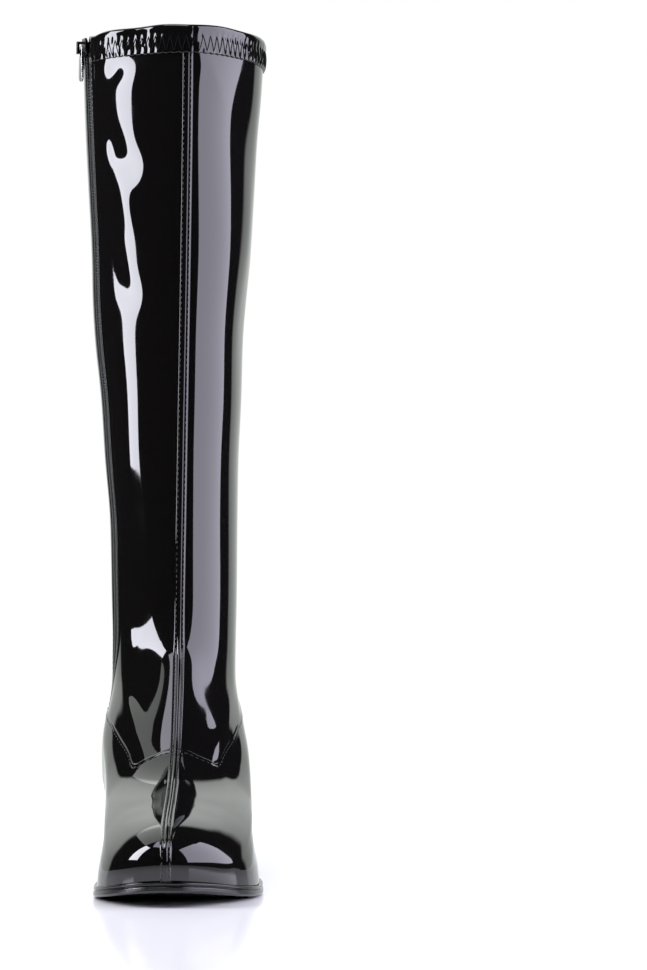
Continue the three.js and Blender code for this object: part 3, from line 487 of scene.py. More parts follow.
# Soft waves and creases. around: distance from the front seam, + on the outer side. up:
# height. across and along: how far it reaches. lean: turned from upright, towards + in
# degrees. out: its height, or its depth where it is a trough.
CREASES = named(
    "around up across along lean out",
    [
        [-28, 429, 10.5, 14, 0, -3.3],
        [-43, 411, 6, 5, 0, -1.4],
        [22, 428, 12, 12, 0, -1.1],
        [3, 420, 3, 9, -25, 0.3],
        [11, 414, 3, 12, -28, 0.35],
        [-32, 361, 6.5, 7, -25, -1.35],
        [-43, 371, 5.5, 8, -25, -1.6],
        [-32, 338, 4.5, 11, -22, 0.75],
        [-32, 296, 6.5, 8, -25, -1.35],
        [-43, 314, 5, 10, -25, -1.5],
        [-30, 298, 5, 12, 0, 0.2],
        [-46, 280, 5, 12, -20, 0.35],
        [-26, 322, 6, 10, 0, -0.25],
        [-38, 250, 8, 26, 4, 0.25],
        [-30, 215, 9, 36, 0, 0.9],
        [-18, 126, 12, 24, 0, -1.8],
        [0, 102, 9, 14, 0, 1.8],
        [-22, 104, 7, 13, 0, -0.9],
        [14, 100, 7, 14, 0, -0.9],
        [0, 385, 7, 45, 0, 0.8],
        [32, 400, 13, 35, 0, -2.2],
        [32, 275, 9, 60, 0, 0.5],
        [52, 330, 7, 26, 8, 0.5],
        [52, 372, 7, 20, -8, -0.4],
        [52, 290, 7, 22, 8, -0.4],
        [14, 230, 9, 40, 0, -0.25],
        [20, 150, 8, 26, 5, -0.35],
        [-24, 74, 2.6, 11, -42, 0.9],
        [-27, 84, 2.2, 8, -42, 0.8],
        [-36, 56, 4, 16, -28, 0.35],
        [27, 74, 2.4, 12, 35, 0.8],
        [38, 66, 3, 16, 22, -0.35],
        [36, 50, 3, 14, 26, 0.35],
        [46, 100, 8, 18, 0, 0.4],
        [6, 44, 10, 10, 0, 0.55],
        [-60, 36, 3, 20, -60, 0.3],
        [62, 34, 3, 22, 55, 0.35],
        [74, 40, 3, 20, 50, -0.3],
    ],
)

# The last measured on fine lines: arcs are distances round it from the front seam.
PER_LEVEL = 10
LEVEL_STEP = 1 / PER_LEVEL
PER_TURN = 720
FINE_LEVELS = np.arange(0, LAST_LEVEL + 0.001, LEVEL_STEP)
FINE_TURNS = np.linspace(0, 2, 2 * PER_TURN + 1)
fine = last_point(FINE_LEVELS[:, None], FINE_TURNS[None, :])
steps = np.linalg.norm(np.diff(fine, axis=1), axis=2)
FINE_ARCS = np.concatenate([np.zeros((len(fine), 1)), np.cumsum(steps, axis=1)], axis=1)
BACK_ARC = FINE_ARCS[:, PER_TURN]
WHOLE_ARC = FINE_ARCS[:, -1]
shares = np.linspace(0, 1, 2 * PER_TURN + 1)
TURN_OF_SHARE = np.array([np.interp(shares * row[-1], row, FINE_TURNS) for row in FINE_ARCS])


def zip_arc_of(n):
    """Where the middle of the zip crosses a fine line, from the front by the inner side."""
    p = fine[n, : PER_TURN + 1]
    away = p[:, 1] + TOP_DEPTH * between(LEG, "up", p[:, 2] / BOOT_HEIGHT, "zip")
    k = np.argmax(away > 0)
    return mix(FINE_ARCS[n, k - 1], FINE_ARCS[n, k], -away[k - 1] / (away[k] - away[k - 1]))


ZIP_ARC = np.array([zip_arc_of(n) for n in range(len(fine))])


def along_levels(values, level):
    """A value of the fine lines, read at any level."""
    return np.interp(level, FINE_LEVELS, values)


def lookup(table, row, column):
    """A table read between its rows and columns."""
    row = np.clip(row, 0, table.shape[0] - 1.001)
    column = np.clip(column, 0, table.shape[1] - 1.001)
    i, j = np.floor(row).astype(int), np.floor(column).astype(int)
    low = mix(table[i, j], table[i, j + 1], column - j)
    high = mix(table[i + 1, j], table[i + 1, j + 1], column - j)
    return mix(low, high, row - i)


def turn_of(level, arc):
    """The turn at a distance round a level."""
    share = np.mod(arc / along_levels(WHOLE_ARC, level), 1)
    return lookup(TURN_OF_SHARE, level * PER_LEVEL, share * 2 * PER_TURN)


def from_front(level, turn):
    """Distance from the front seam along the surface, + on the outer side."""
    arc = lookup(FINE_ARCS, level * PER_LEVEL, np.mod(turn, 2) * PER_TURN)
    whole = along_levels(WHOLE_ARC, level)
    return np.where(np.mod(turn, 2) <= 1, -arc, whole - arc)


STEP = 1e-3


def directions(surface, level, turn):
    """Outward unit normals of a surface given as a function of level and turn."""
    up = surface(np.minimum(level + STEP, LAST_LEVEL), turn)
    up = up - surface(np.maximum(level - STEP, 0), turn)
    around = surface(level, np.mod(turn + STEP, 2)) - surface(level, np.mod(turn - STEP, 2))
    outward = np.cross(up, around)
    return outward / np.linalg.norm(outward, axis=-1, keepdims=True)


ZIP_CLEAR = 16.0
ZIP_FLAT = 3.0


def crease_height(level, turn, z):
    """The soft waves and creases at a place, which die out towards the zip."""
    around = from_front(level, turn)
    total = 0 * around
    for place, up, across, along, lean, out in zip(*CREASES.values()):
        angle = math.radians(lean)
        ds, dz = around - place, z - up
        u = ds * math.cos(angle) - dz * math.sin(angle)
        v = ds * math.sin(angle) + dz * math.cos(angle)
        total = total + out * np.exp(-0.5 * ((u / across) ** 2 + (v / along) ** 2))
    to_zip = np.abs(around + along_levels(ZIP_ARC, level))
    return total * smooth((to_zip - ZIP_SLIT / 2 - ZIP_FLAT) / ZIP_CLEAR) * smooth(level / 2)


def worn_point(level, turn):
    """A point of the outer surface with its waves, before seams and edges."""
    level, turn = np.broadcast_arrays(np.asarray(level, float), np.asarray(turn, float))
    point = last_point(level, turn)
    height = crease_height(level, turn, point[..., 2])
    return point + directions(last_point, level, turn) * height[..., None]


def on_skin(level, turn, lift=0.0):
    """Points so far outside that surface, and the outward directions there."""
    level, turn = np.broadcast_arrays(np.asarray(level, float), np.asarray(turn, float))
    outward = directions(worn_point, level, turn)
    return worn_point(level, turn) + outward * np.asarray(lift)[..., None], outward


def column_arcs(n):
    """Distances round one fine line of the columns of the cut pieces: from the back edge of
    the zip by the back, the outer side and the front to its front edge, and over the gap."""
    back, whole = BACK_ARC[n], WHOLE_ARC[n]
    near, far = ZIP_ARC[n] + ZIP_SLIT / 2, ZIP_ARC[n] - ZIP_SLIT / 2
    seam, fold = np.array(SEAM_COLUMNS), np.array(FOLD_COLUMNS)
    to_back = np.linspace(near + fold[-1], back - seam[-1], BACK_SPLITS)[1:-1]
    share = 1 - (1 - np.linspace(0, 1, LATERAL_SPLITS)[1:-1]) ** TOE_POWER
    to_front = mix(back + seam[-1], whole - seam[-1], share)
    share = np.linspace(0, 1, FRONT_SPLITS)[1:-1] ** TOE_POWER
    to_zip = mix(whole + seam[-1], whole + far - fold[-1], share)
    gap = np.linspace(whole + far, whole + near, GAP_COLUMNS)[1:-1]
    parts = [near + fold, to_back, back - seam[:0:-1], back + seam, to_front, whole - seam[:0:-1]]
    return np.concatenate(parts + [whole + seam, to_zip, whole + far - fold[::-1], gap])


COLUMN_ARCS = np.array([column_arcs(n) for n in range(len(fine))])
COLUMN_TURNS = turn_of(FINE_LEVELS[:, None] + 0 * COLUMN_ARCS, COLUMN_ARCS)
COLUMNS = COLUMN_ARCS.shape[1]
PANEL_COLUMNS = COLUMNS - GAP_COLUMNS + 2
NUMBERS = np.arange(COLUMNS)[None, :]


def round_shares(arcs, level):
    """How far round places lie, from 0 at the front seam to 1 at the back on both sides."""
    back, whole = along_levels(BACK_ARC, level), along_levels(WHOLE_ARC, level)
    arcs = np.mod(arcs, whole)
    return np.where(arcs <= back, arcs / back, (whole - arcs) / (whole - back))


every_level = FINE_LEVELS[:, None] + 0 * COLUMN_ARCS
over = last_point(every_level, COLUMN_TURNS)[..., 2]
over = over - ANKLE_HEIGHT * between(LAP, "round", round_shares(COLUMN_ARCS, every_level), "up")
first = np.argmax(over[1:] > 0, axis=0) + 1
above, below = over[first, NUMBERS[0]], over[first - 1, NUMBERS[0]]
LAP_LEVEL = LEVEL_STEP * (first - above / (above - below))


def zip_level(height):
    """The level at which the zip reaches a height."""
    z = last_point(FINE_LEVELS, turn_of(FINE_LEVELS, ZIP_ARC))[..., 2]
    return float(np.interp(height, z, FINE_LEVELS))


def front_level(height):
    """The level at which the front seam reaches a height above the ankle."""
    levels = np.linspace(ANKLE_LEVEL, LAST_LEVEL, 2001)
    return float(np.interp(height, line_value(levels, "front_z"), levels))


ZIP_FOOT_LEVEL = zip_level(ZIP_FOOT)


def bell(distance, width):
    """A soft bump, 1 high."""
    return np.exp(-0.5 * (distance / width) ** 2)


SEAM_RIB = 0.14
SEAM_GROOVE = 0.18
GROOVE_PLACE = 0.95


def seam_height(across):
    """The raised seam's section: a rib in the middle and a row of stitches on each side."""
    raised = SEAM_STEP * (1 - smooth((across - SEAM_EDGE) / 0.5))
    rib = SEAM_RIB * bell(across, 0.3) - SEAM_GROOVE * bell(across - GROOVE_PLACE, 0.18)
    return raised + rib - SEAM_GROOVE * bell(across - STITCH_ROW, 0.2)


FOLD_STEP = 0.4
FOLD_WIDTH = 2.2
FOLD_GROOVE = 0.2
FOLD_CUT = 0.25


def fold_height(from_edge):
    """The edge folded under beside the zip, and its row of stitches."""
    faded = 1 - smooth((from_edge - FOLD_WIDTH) / 1.1)
    roll = FOLD_STEP * cap(np.clip(from_edge, 0, None) / 0.5) * faded
    return roll - FOLD_CUT * (from_edge < 0.02) - FOLD_GROOVE * bell(from_edge - ZIP_ROW, 0.16)


BACK_SEAM = 0.35


def panel_heights(level, arcs):
    """How far the seams and folds stand out from the surface at places of the cut pieces."""
    whole, back = along_levels(WHOLE_ARC, level), along_levels(BACK_ARC, level)
    zip_at = along_levels(ZIP_ARC, level)
    front = np.abs(arcs - whole)
    heights = seam_height(front) + BACK_SEAM * seam_height(np.abs(arcs - back))
    edge = np.minimum(arcs - zip_at, whole + zip_at - arcs) - ZIP_SLIT / 2
    open_here = smooth((level - ZIP_FOOT_LEVEL + 0.05) / 0.15)
    return heights + np.where(edge > -0.01, fold_height(edge), 0) * open_here


def new_piece(name, vertices, faces, material, sharp=None):
    """A mesh at the origin from vertices in millimetres. Edges over the sharp angle stay hard."""
    mesh = bpy.data.meshes.new(name)
    mesh.from_pydata((np.asarray(vertices) * MM).tolist(), [], faces)
    form = bmesh.new()
    form.from_mesh(mesh)
    if form.calc_volume(signed=True) < 0:
        bmesh.ops.reverse_faces(form, faces=form.faces)
    form.to_mesh(mesh)
    form.free()
    mesh.polygons.foreach_set("use_smooth", [True] * len(mesh.polygons))
    if sharp:
        mesh.set_sharp_from_angle(angle=math.radians(sharp))
    mesh.materials.append(material)
    return placed(name, mesh)


def shell(name, outer, inner, kept, material, sharp=50):
    """A closed wall between two grids that run round the leg: the kept quads and their edges."""
    rows, across = outer.shape[:2]
    out = np.arange(rows * across).reshape(rows, across)
    under = out + rows * across
    faces = []

    def is_kept(i, k):
        return 0 <= i < rows - 1 and bool(kept[i, k % across])

    for i, k in zip(*np.nonzero(kept)):
        m = (k + 1) % across
        faces.append((out[i, k], out[i, m], out[i + 1, m], out[i + 1, k]))
        faces.append((under[i, k], under[i + 1, k], under[i + 1, m], under[i, m]))
        if not is_kept(i - 1, k):
            faces.append((out[i, m], out[i, k], under[i, k], under[i, m]))
        if not is_kept(i + 1, k):
            faces.append((out[i + 1, k], out[i + 1, m], under[i + 1, m], under[i + 1, k]))
        if not is_kept(i, k - 1):
            faces.append((out[i, k], out[i + 1, k], under[i + 1, k], under[i, k]))
        if not is_kept(i, k + 1):
            faces.append((out[i + 1, m], out[i, m], under[i, m], under[i + 1, m]))
    used, faces = np.unique(np.array(faces), return_inverse=True)
    vertices = np.concatenate([outer.reshape(-1, 3), inner.reshape(-1, 3)])[used]
    return new_piece(name, vertices, faces.reshape(-1, 4).tolist(), material, sharp)


# Stretch patent is polyurethane film on a knit: one sharp mirror over a nearly black ground,
# with a faint orange peel and the finest scuffs.
PATENT_BLACK = 0x0A0909
ORANGE_PEEL_MM = 2.2
SCUFF_MM = 14.0


def surface(name, values, gloss=None, relief=None):
    """A material with its shader's own values, patterned on the piece's own coordinates.
    gloss: a noise's inputs, and the range of roughness that the noise is spread over.
    relief: a texture's kind and inputs, and the strength and depth of its bumps."""
    material, tree, output = new_material(name)
    place = add(tree, "ShaderNodeTexCoord").outputs["Object"]
    values = dict(values)
    if gloss:
        pattern, spread = gloss
        wear = add(tree, "ShaderNodeTexNoise", {"Vector": place, **pattern})
        dull = add(tree, "ShaderNodeMapRange", {"Value": wear.outputs["Fac"], **spread})
        values["Roughness"] = dull.outputs[0]
    if relief:
        kind, pattern, bumps = relief
        upright = {"bands_direction": "Z"} if kind == "ShaderNodeTexWave" else {}
        grain = add(tree, kind, {"Vector": place, **pattern}, **upright)
        raised = add(tree, "ShaderNodeBump", {"Height": grain.outputs["Fac"], **bumps})
        values["Normal"] = raised.outputs[0]
    finish = add(tree, "ShaderNodeBsdfPrincipled", values)
    tree.links.new(finish.outputs[0], output.inputs["Surface"])
    return material


patent = surface(
    "black_stretch_patent",
    {"Base Color": linear(PATENT_BLACK), "IOR": 1.5},
    gloss=(
        {"Scale": 1000 / SCUFF_MM, "Detail": 2.0},
        {"From Min": 0.45, "From Max": 0.75, "To Min": 0.035, "To Max": 0.075},
    ),
    relief=(
        "ShaderNodeTexNoise",
        {"Scale": 1000 / ORANGE_PEEL_MM, "Detail": 1.0},
        {"Strength": 0.06, "Distance": 0.00003},
    ),
)


def panel_grid(level, depth):
    """The outer and inner points of a cut piece, for its levels and how deep it is cut."""
    arcs = lookup(COLUMN_ARCS, level * PER_LEVEL, NUMBERS + 0 * level)
    point, outward = on_skin(level, turn_of(level, arcs))
    lift = panel_heights(level, arcs) + depth[0]
    return point + outward * lift[..., None], point + outward * depth[1][..., None]


# The shaft: one tall piece, from under the foot part's edge to inside the hem.
ANKLE_ROWS = 24
SHAFT_ROWS = 178
HEM_FOLD = 3.0
HEM_TOP = front_level(BOOT_HEIGHT - HEM_FOLD)
start = LAP_LEVEL[None, :]
rows = [start - LAP_UNDER, start - 0.1, start]
rows += [mix(start, ANKLE_LEVEL, share) for share in np.linspace(0, 1, ANKLE_ROWS)[1:]]
rows += [level + 0 * start for level in np.linspace(ANKLE_LEVEL, HEM_TOP, SHAFT_ROWS)[1:]]
level = np.concatenate(rows)
kept = np.zeros(level.shape, bool)
kept[:-1, : PANEL_COLUMNS - 1] = True
outer, inner = panel_grid(level, (0 * level, 0 * level - LINING_DEPTH))
shaft = shell("upper_shaft", outer, inner, kept, patent)

# The foot part: over the toe and round the heel, lying on the shaft along its upper edge, where
# a level is about 10.5 mm high.
FOOT_ROWS = 74
EDGE_ROWS = 9
LEVEL_MM = 10.5
ROW_GROOVE = 0.16
zip_column = PANEL_COLUMNS + GAP_COLUMNS // 2
zip_share = ZIP_FOOT_LEVEL / LAP_LEVEL[zip_column]
shares = np.linspace(0, 1 - LAP_UNDER / LAP_LEVEL.mean(), FOOT_ROWS)
nearest = np.argmin(np.abs(shares - zip_share))
shares[nearest] = zip_share
shares = np.concatenate([shares, np.linspace(shares[-1], 1, EDGE_ROWS)[1:]])
level = LAP_LEVEL[None, :] * shares[:, None]
from_edge = (1 - shares[:, None]) * LAP_LEVEL[None, :]
edge_mm = from_edge * LEVEL_MM
depth_out = LAP_STEP * cap(edge_mm / 0.6) - ROW_GROOVE * bell(edge_mm - LAP_ROW, 0.2)
depth_in = np.where(from_edge < LAP_UNDER, 0.02, -LINING_DEPTH)
kept = np.zeros(level.shape, bool)
kept[:-1, : PANEL_COLUMNS - 1] = True
kept[:nearest, :] = True
outer, inner = panel_grid(level, (depth_out, depth_in))
foot = shell("upper_foot", outer, inner, kept, patent)

# The hem: the top of the shaft folded out over a band of elastic and caught down with a
# zigzag of stitches, which pulls it in at every turn of the thread.
HEM_SPACING = 0.62
ZIGZAG_TOP = 5.6
ZIGZAG_FOOT = 13.1
SCALLOP = 0.55
SCALLOP_FROM = 11.5
ZIGZAG_PITCH = 4.1
PULL_REACH = 1.1
PULL_DEPTH = 0.3
BED_WIDTH = 0.3
BED_DEPTH = 0.12
BED_END = 0.5
HEM_SEAM = 0.6
END_FULLNESS = 0.45
END_REACH = 4.0
WAVE_REACH = 12.0
WAVE_END = 8.0
RIM_SPREAD = 20
RIM_EASE = 8
# The rim's own waves. around: distance from the front seam, + on the outer side.
RIM_WAVES = named(
    "around up",
    [
        [-90, -0.3],
        [-60, -1.2],
        [-47, 0.6],
        [-30, 0.2],
        [-12, 1.1],
        [0, 0.3],
        [20, 1.0],
        [38, 0.3],
        [58, 0.6],
        [75, -0.6],
        [110, 0.3],
        [150, -0.2],
    ],
)
# The hem's section, from its lower edge up the outer face, over the rim and down the inside.
HEM_PATH = named(
    "down out",
    [
        [14.2, 0.02],
        [14.2, 0.6],
        [14.05, 0.95],
        [13.7, 1.05],
        [13.1, 1.05],
        [12.3, 1.15],
        [11.2, 1.25],
        [9.5, 1.3],
        [8.2, 1.3],
        [7.0, 1.25],
        [5.8, 1.15],
        [4.6, 1.05],
        [3.4, 1.2],
        [2.2, 1.2],
        [1.2, 1.05],
        [0.5, 0.7],
        [0.1, 0.2],
        [0.0, -0.3],
        [0.25, -0.9],
        [0.9, -1.4],
        [2.0, -1.65],
        [6.0, -1.7],
        [12.0, -1.7],
        [13.6, -1.68],
        [14.0, -1.45],
    ],
)
OUTER_PLACES = 18
top_arc, top_zip = WHOLE_ARC[-1], ZIP_ARC[-1]
hem_start, hem_end = top_zip + ZIP_SLIT / 2, top_arc + top_zip - ZIP_SLIT / 2
hem_arcs = np.linspace(hem_start, hem_end, int((hem_end - hem_start) / HEM_SPACING))
hem_levels = np.array([front_level(BOOT_HEIGHT - down) for down in HEM_PATH["down"]])


def hem_heights(down, arcs, out):
    """The hem's outer face: the band's own section, with puckers at the stitches."""
    turn_at = np.abs(np.mod(arcs / ZIGZAG_PITCH, 1) * 2 - 1)
    top_pull = bell(down - ZIGZAG_TOP, PULL_REACH) * (1 - turn_at) ** 2
    foot_pull = bell(down - ZIGZAG_FOOT, PULL_REACH) * turn_at**2
    on_leg = (down - ZIGZAG_TOP) / (ZIGZAG_FOOT - ZIGZAG_TOP)
    bed = bell((turn_at - on_leg) * ZIGZAG_PITCH / 2, BED_WIDTH)
    bed = bed * ((down > ZIGZAG_TOP - BED_END) & (down < ZIGZAG_FOOT + BED_END))
    puffs = 0.03 * np.cos(np.pi * arcs / ZIGZAG_PITCH + 0.8 * np.sin(arcs / 7.0))
    puffs = puffs + 0.1 * np.sin(arcs / 5.2) * np.sin(arcs / 13.7 + 1)
    face = smooth((out + 0.2) / 0.8)
    return out + face * (puffs - PULL_DEPTH * (top_pull + foot_pull) - BED_DEPTH * bed)


def end_fullness(from_end):
    """How much of its height the hem has near its ends, where it lies flat beside the zip."""
    return mix(END_FULLNESS, 1, smooth(from_end / END_REACH))


def wave_share(down, from_end):
    """How much of the rim's waves a place of the hem takes part in."""
    return smooth((HEM_HEIGHT - down) / WAVE_REACH) * smooth(from_end / WAVE_END)


down = HEM_PATH["down"][:, None] + 0 * hem_arcs[None, :]
level = hem_levels[:, None] + 0 * hem_arcs[None, :]
arcs = hem_arcs[None, :] * along_levels(WHOLE_ARC, level) / top_arc
out = HEM_PATH["out"][:, None] + 0 * arcs
turn = turn_of(level, arcs)
around = from_front(level, turn)
lift = hem_heights(down, arcs, out)
lift = lift + (out > 0) * HEM_SEAM * seam_height(np.abs(around)) * smooth(out)
from_end = np.minimum(arcs - arcs[:, :1], arcs[:, -1:] - arcs)
lift = np.where(out > 0, lift * end_fullness(from_end), lift)
point, outward = on_skin(level, turn)
hem_points = point + outward * lift[..., None]
in_order = np.sort(around[0])
weights = bell(np.arange(-RIM_SPREAD, RIM_SPREAD + 1), RIM_EASE)
rim_wave = np.interp(in_order, RIM_WAVES["around"], RIM_WAVES["up"])
rim_wave = np.pad(rim_wave, RIM_SPREAD, mode="edge")
rim_wave = np.convolve(rim_wave, weights / weights.sum(), mode="valid")
rim_wave = np.interp(around, in_order, rim_wave)
hem_points[..., 2] += rim_wave * wave_share(down, from_end)
between_feet = 1 - np.abs(np.mod(hem_arcs / ZIGZAG_PITCH, 1) * 2 - 1)
hem_points[..., 2] += SCALLOP * between_feet**2 * smooth((down - SCALLOP_FROM) / 2) * (out > 0)


def ribbon_piece(name, grid, material, sharp=50):
    """A closed loop of a section, carried along: rows of the grid are the section's places."""
    section, length = grid.shape[:2]
    number = np.arange(section * length).reshape(section, length)
    faces = []
    for k in range(section):
        m = (k + 1) % section
        quads = np.stack([number[k, :-1], number[k, 1:], number[m, 1:], number[m, :-1]], axis=1)
        faces += quads.tolist()
    faces.append(number[:, 0].tolist())
    faces.append(number[::-1, -1].tolist())
    return new_piece(name, grid.reshape(-1, 3), faces, material, sharp)


hem = ribbon_piece("upper_hem", hem_points, patent, 60)

# The lining: black knit cloth, bonded to the back of the patent, so the boot is matt inside.
# Its rows of loops are drawn coarser than the real ones to show.
LINING_ROWS = 60
LINING_CLEAR = 0.05
LINING_TOP = 12.0
lining_cloth = surface(
    "black_knit_lining",
    {
        "Base Color": linear(0x1D1C1F),
        "Roughness": 0.9,
        "Sheen Weight": 0.25,
        "Sheen Roughness": 0.5,
    },
    relief=(
        "ShaderNodeTexWave",
        {"Scale": 320.0, "Distortion": 3.0, "Detail": 2.0},
        {"Strength": 0.5, "Distance": 0.0003},
    ),
)
lining_top = front_level(BOOT_HEIGHT - LINING_TOP)
zip_share = ZIP_FOOT_LEVEL / lining_top
shares = np.unique(np.append(np.linspace(0, 1, LINING_ROWS), zip_share))
level = shares[:, None] * lining_top + np.zeros((1, COLUMNS))
kept = np.zeros(level.shape, bool)
kept[:-1, : PANEL_COLUMNS - 1] = True
kept[: int(np.searchsorted(shares, zip_share - 1e-9)), :] = True
arcs = lookup(COLUMN_ARCS, level * PER_LEVEL, NUMBERS + 0 * level)
point, outward = on_skin(level, turn_of(level, arcs))
outer, inner = point - outward * (LINING_DEPTH + LINING_CLEAR), point - outward * WALL
lining = shell("upper_lining", outer, inner, kept, lining_cloth)
for piece in (shaft, foot, hem, lining):
    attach(piece, "boot")
    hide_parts("upper")

# Thread: bonded black polyester, laid in rows of short stitches beside every seam. Each
# stitch is one small bead between two needle holes.
STITCH_PITCH = 2.9
STITCH_LENGTH = 1.8
THREAD_THICKNESS = 0.46
AIM_REACH = 0.3

# Bonded thread: half glossy, with the fine strands of its twist.
thread = surface(
    "black_polyester_thread",
    {"Base Color": linear(0x19191B), "Roughness": 0.3},
    relief=(
        "ShaderNodeTexNoise",
        {"Scale": 3200.0, "Detail": 1.0},
        {"Strength": 0.4, "Distance": 0.0001},
    ),
)


def laid_out(levels, turns, pitch, lift):
    """Places at an even pitch along a line on the skin: points, directions and outwards."""
    points, outward = on_skin(levels, turns, lift)
    lengths = np.concatenate([[0], np.cumsum(np.linalg.norm(np.diff(points, axis=0), axis=1))])
    at = np.arange(pitch / 2, lengths[-1], pitch)

    def read(values, at):
        return np.stack([np.interp(at, lengths, values[:, n]) for n in range(3)], axis=1)

    ahead = read(points, at + AIM_REACH) - read(points, at - AIM_REACH)
    return read(points, at), ahead, read(outward, at)


def new_tree(name, inputs):
    """An empty tree of geometry nodes with named inputs, and its two end nodes."""
    group = bpy.data.node_groups.new(name, "GeometryNodeTree")
    face = group.interface
    face.new_socket("Geometry", in_out="INPUT", socket_type="NodeSocketGeometry")
    for label, kind in inputs.items():
        face.new_socket(label, in_out="INPUT", socket_type="NodeSocket" + kind)
    face.new_socket("Geometry", in_out="OUTPUT", socket_type="NodeSocketGeometry")
    return group, group.nodes.new("NodeGroupInput"), group.nodes.new("NodeGroupOutput")


def finish_tree(group, start, end, shape):
    """Sets a shape on every point, turned along and outwards, and makes it plain mesh."""
    along, out = (
        add(group, "GeometryNodeInputNamedAttribute", {"Name": name}, data_type="FLOAT_VECTOR")
        for name in ("along", "out")
    )
    first = add(group, "FunctionNodeAlignRotationToVector", {"Vector": out.outputs[0]}, axis="Z")
    second = add(
        group,
        "FunctionNodeAlignRotationToVector",
        {"Rotation": first.outputs[0], "Vector": along.outputs[0]},
        axis="X",
        pivot_axis="Z",
    )
    links = {"Points": start.outputs["Geometry"], "Instance": shape, "Rotation": second.outputs[0]}
    copies = add(group, "GeometryNodeInstanceOnPoints", links)
    plain = add(group, "GeometryNodeRealizeInstances", {"Geometry": copies.outputs[0]})
    rounded = add(group, "GeometryNodeSetShadeSmooth", {"Geometry": plain.outputs[0]})
    links = {"Geometry": rounded.outputs[0], "Material": start.outputs["Material"]}
    finished = add(group, "GeometryNodeSetMaterial", links)
    group.links.new(finished.outputs[0], end.inputs[0])


def repeated(name, tree, places, along, outward, values):
    """A plain mesh of a tree's shape at every place."""
    mesh = bpy.data.meshes.new(name + "_places")
    mesh.from_pydata((places * MM).tolist(), [], [])
    for label, data in (("along", along), ("out", outward)):
        column = mesh.attributes.new(label, "FLOAT_VECTOR", "POINT")
        column.data.foreach_set("vector", np.asarray(data, np.float32).ravel())
    seeds = placed(name + "_places", mesh)
    modifier = seeds.modifiers.new("copies", "NODES")
    modifier.node_group = tree
    for item in tree.interface.items_tree:
        if item.in_out == "INPUT" and item.name in values:
            modifier[item.identifier] = values[item.name]
    shown = seeds.evaluated_get(bpy.context.evaluated_depsgraph_get())
    result = bpy.data.meshes.new_from_object(shown)
    result.name = name
    bpy.data.objects.remove(seeds)
    return placed(name, result)


stitch_tree, start, end = new_tree(
    "stitch_row", {"Length": "Float", "Thickness": "Float", "Material": "Material"}
)
bead = add(stitch_tree, "GeometryNodeMeshUVSphere", {"Segments": 6, "Rings": 5, "Radius": 0.5})
size = add(
    stitch_tree,
    "ShaderNodeCombineXYZ",
    {"X": start.outputs["Length"], "Y": start.outputs["Thickness"], "Z": start.outputs["Thickness"]},
)
links = {"Geometry": bead.outputs[0], "Scale": size.outputs[0]}
sized = add(stitch_tree, "GeometryNodeTransform", links)
finish_tree(stitch_tree, start, end, sized.outputs[0])

# The rows: two on the front seam, one on each side of the zip, and one along the lap.
SEAM_ROW_START = 0.25
SEAM_ROW_CLEAR = 2.6
SEAM_ROW_SINK = 0.08
ZIP_ROW_LIFT = 0.26
LAP_ROW_SINK = 0.02
hem_foot_level = front_level(BOOT_HEIGHT - HEM_HEIGHT - 0.5)
rows = []
levels = np.linspace(SEAM_ROW_START, hem_foot_level, 900)
ankle_arcs = COLUMN_ARCS[ANKLE_LEVEL * PER_LEVEL]
front_arc = WHOLE_ARC[ANKLE_LEVEL * PER_LEVEL]
lap_front = LAP_LEVEL[np.argmin(np.abs(ankle_arcs - front_arc))]
for side in (-1, 1):
    turns = turn_of(levels, side * STITCH_ROW + 0 * levels)
    lift = SEAM_STEP - SEAM_ROW_SINK + LAP_STEP * (levels < lap_front)
    rows.append(laid_out(levels, turns, STITCH_PITCH, lift))
levels = np.linspace(ZIP_FOOT_LEVEL, hem_foot_level, 700)
for side in (-1, 1):
    arcs = along_levels(ZIP_ARC, levels) + side * (ZIP_SLIT / 2 + ZIP_ROW)
    rows.append(laid_out(levels, turn_of(levels, arcs), STITCH_PITCH, ZIP_ROW_LIFT + 0 * levels))
lap_columns = np.arange(len(FOLD_COLUMNS), PANEL_COLUMNS - len(FOLD_COLUMNS))
levels = LAP_LEVEL[lap_columns] - LAP_ROW / LEVEL_MM
arcs = lookup(COLUMN_ARCS, levels * PER_LEVEL, lap_columns)
clear = np.abs(from_front(levels, turn_of(levels, arcs))) > SEAM_ROW_CLEAR
past_front = lap_columns >= PANEL_COLUMNS * 0.7
for chosen in (clear & ~past_front, clear & past_front):
    turns = turn_of(levels[chosen], arcs[chosen])
    lift = LAP_STEP - LAP_ROW_SINK + 0 * turns
    rows.append(laid_out(levels[chosen], turns, STITCH_PITCH, lift))
values = {"Length": STITCH_LENGTH * MM, "Thickness": THREAD_THICKNESS * MM, "Material": thread}
places, along, outward = (np.concatenate(part) for part in zip(*rows))
stitches = repeated("seam_stitches", stitch_tree, places, along, outward, values)

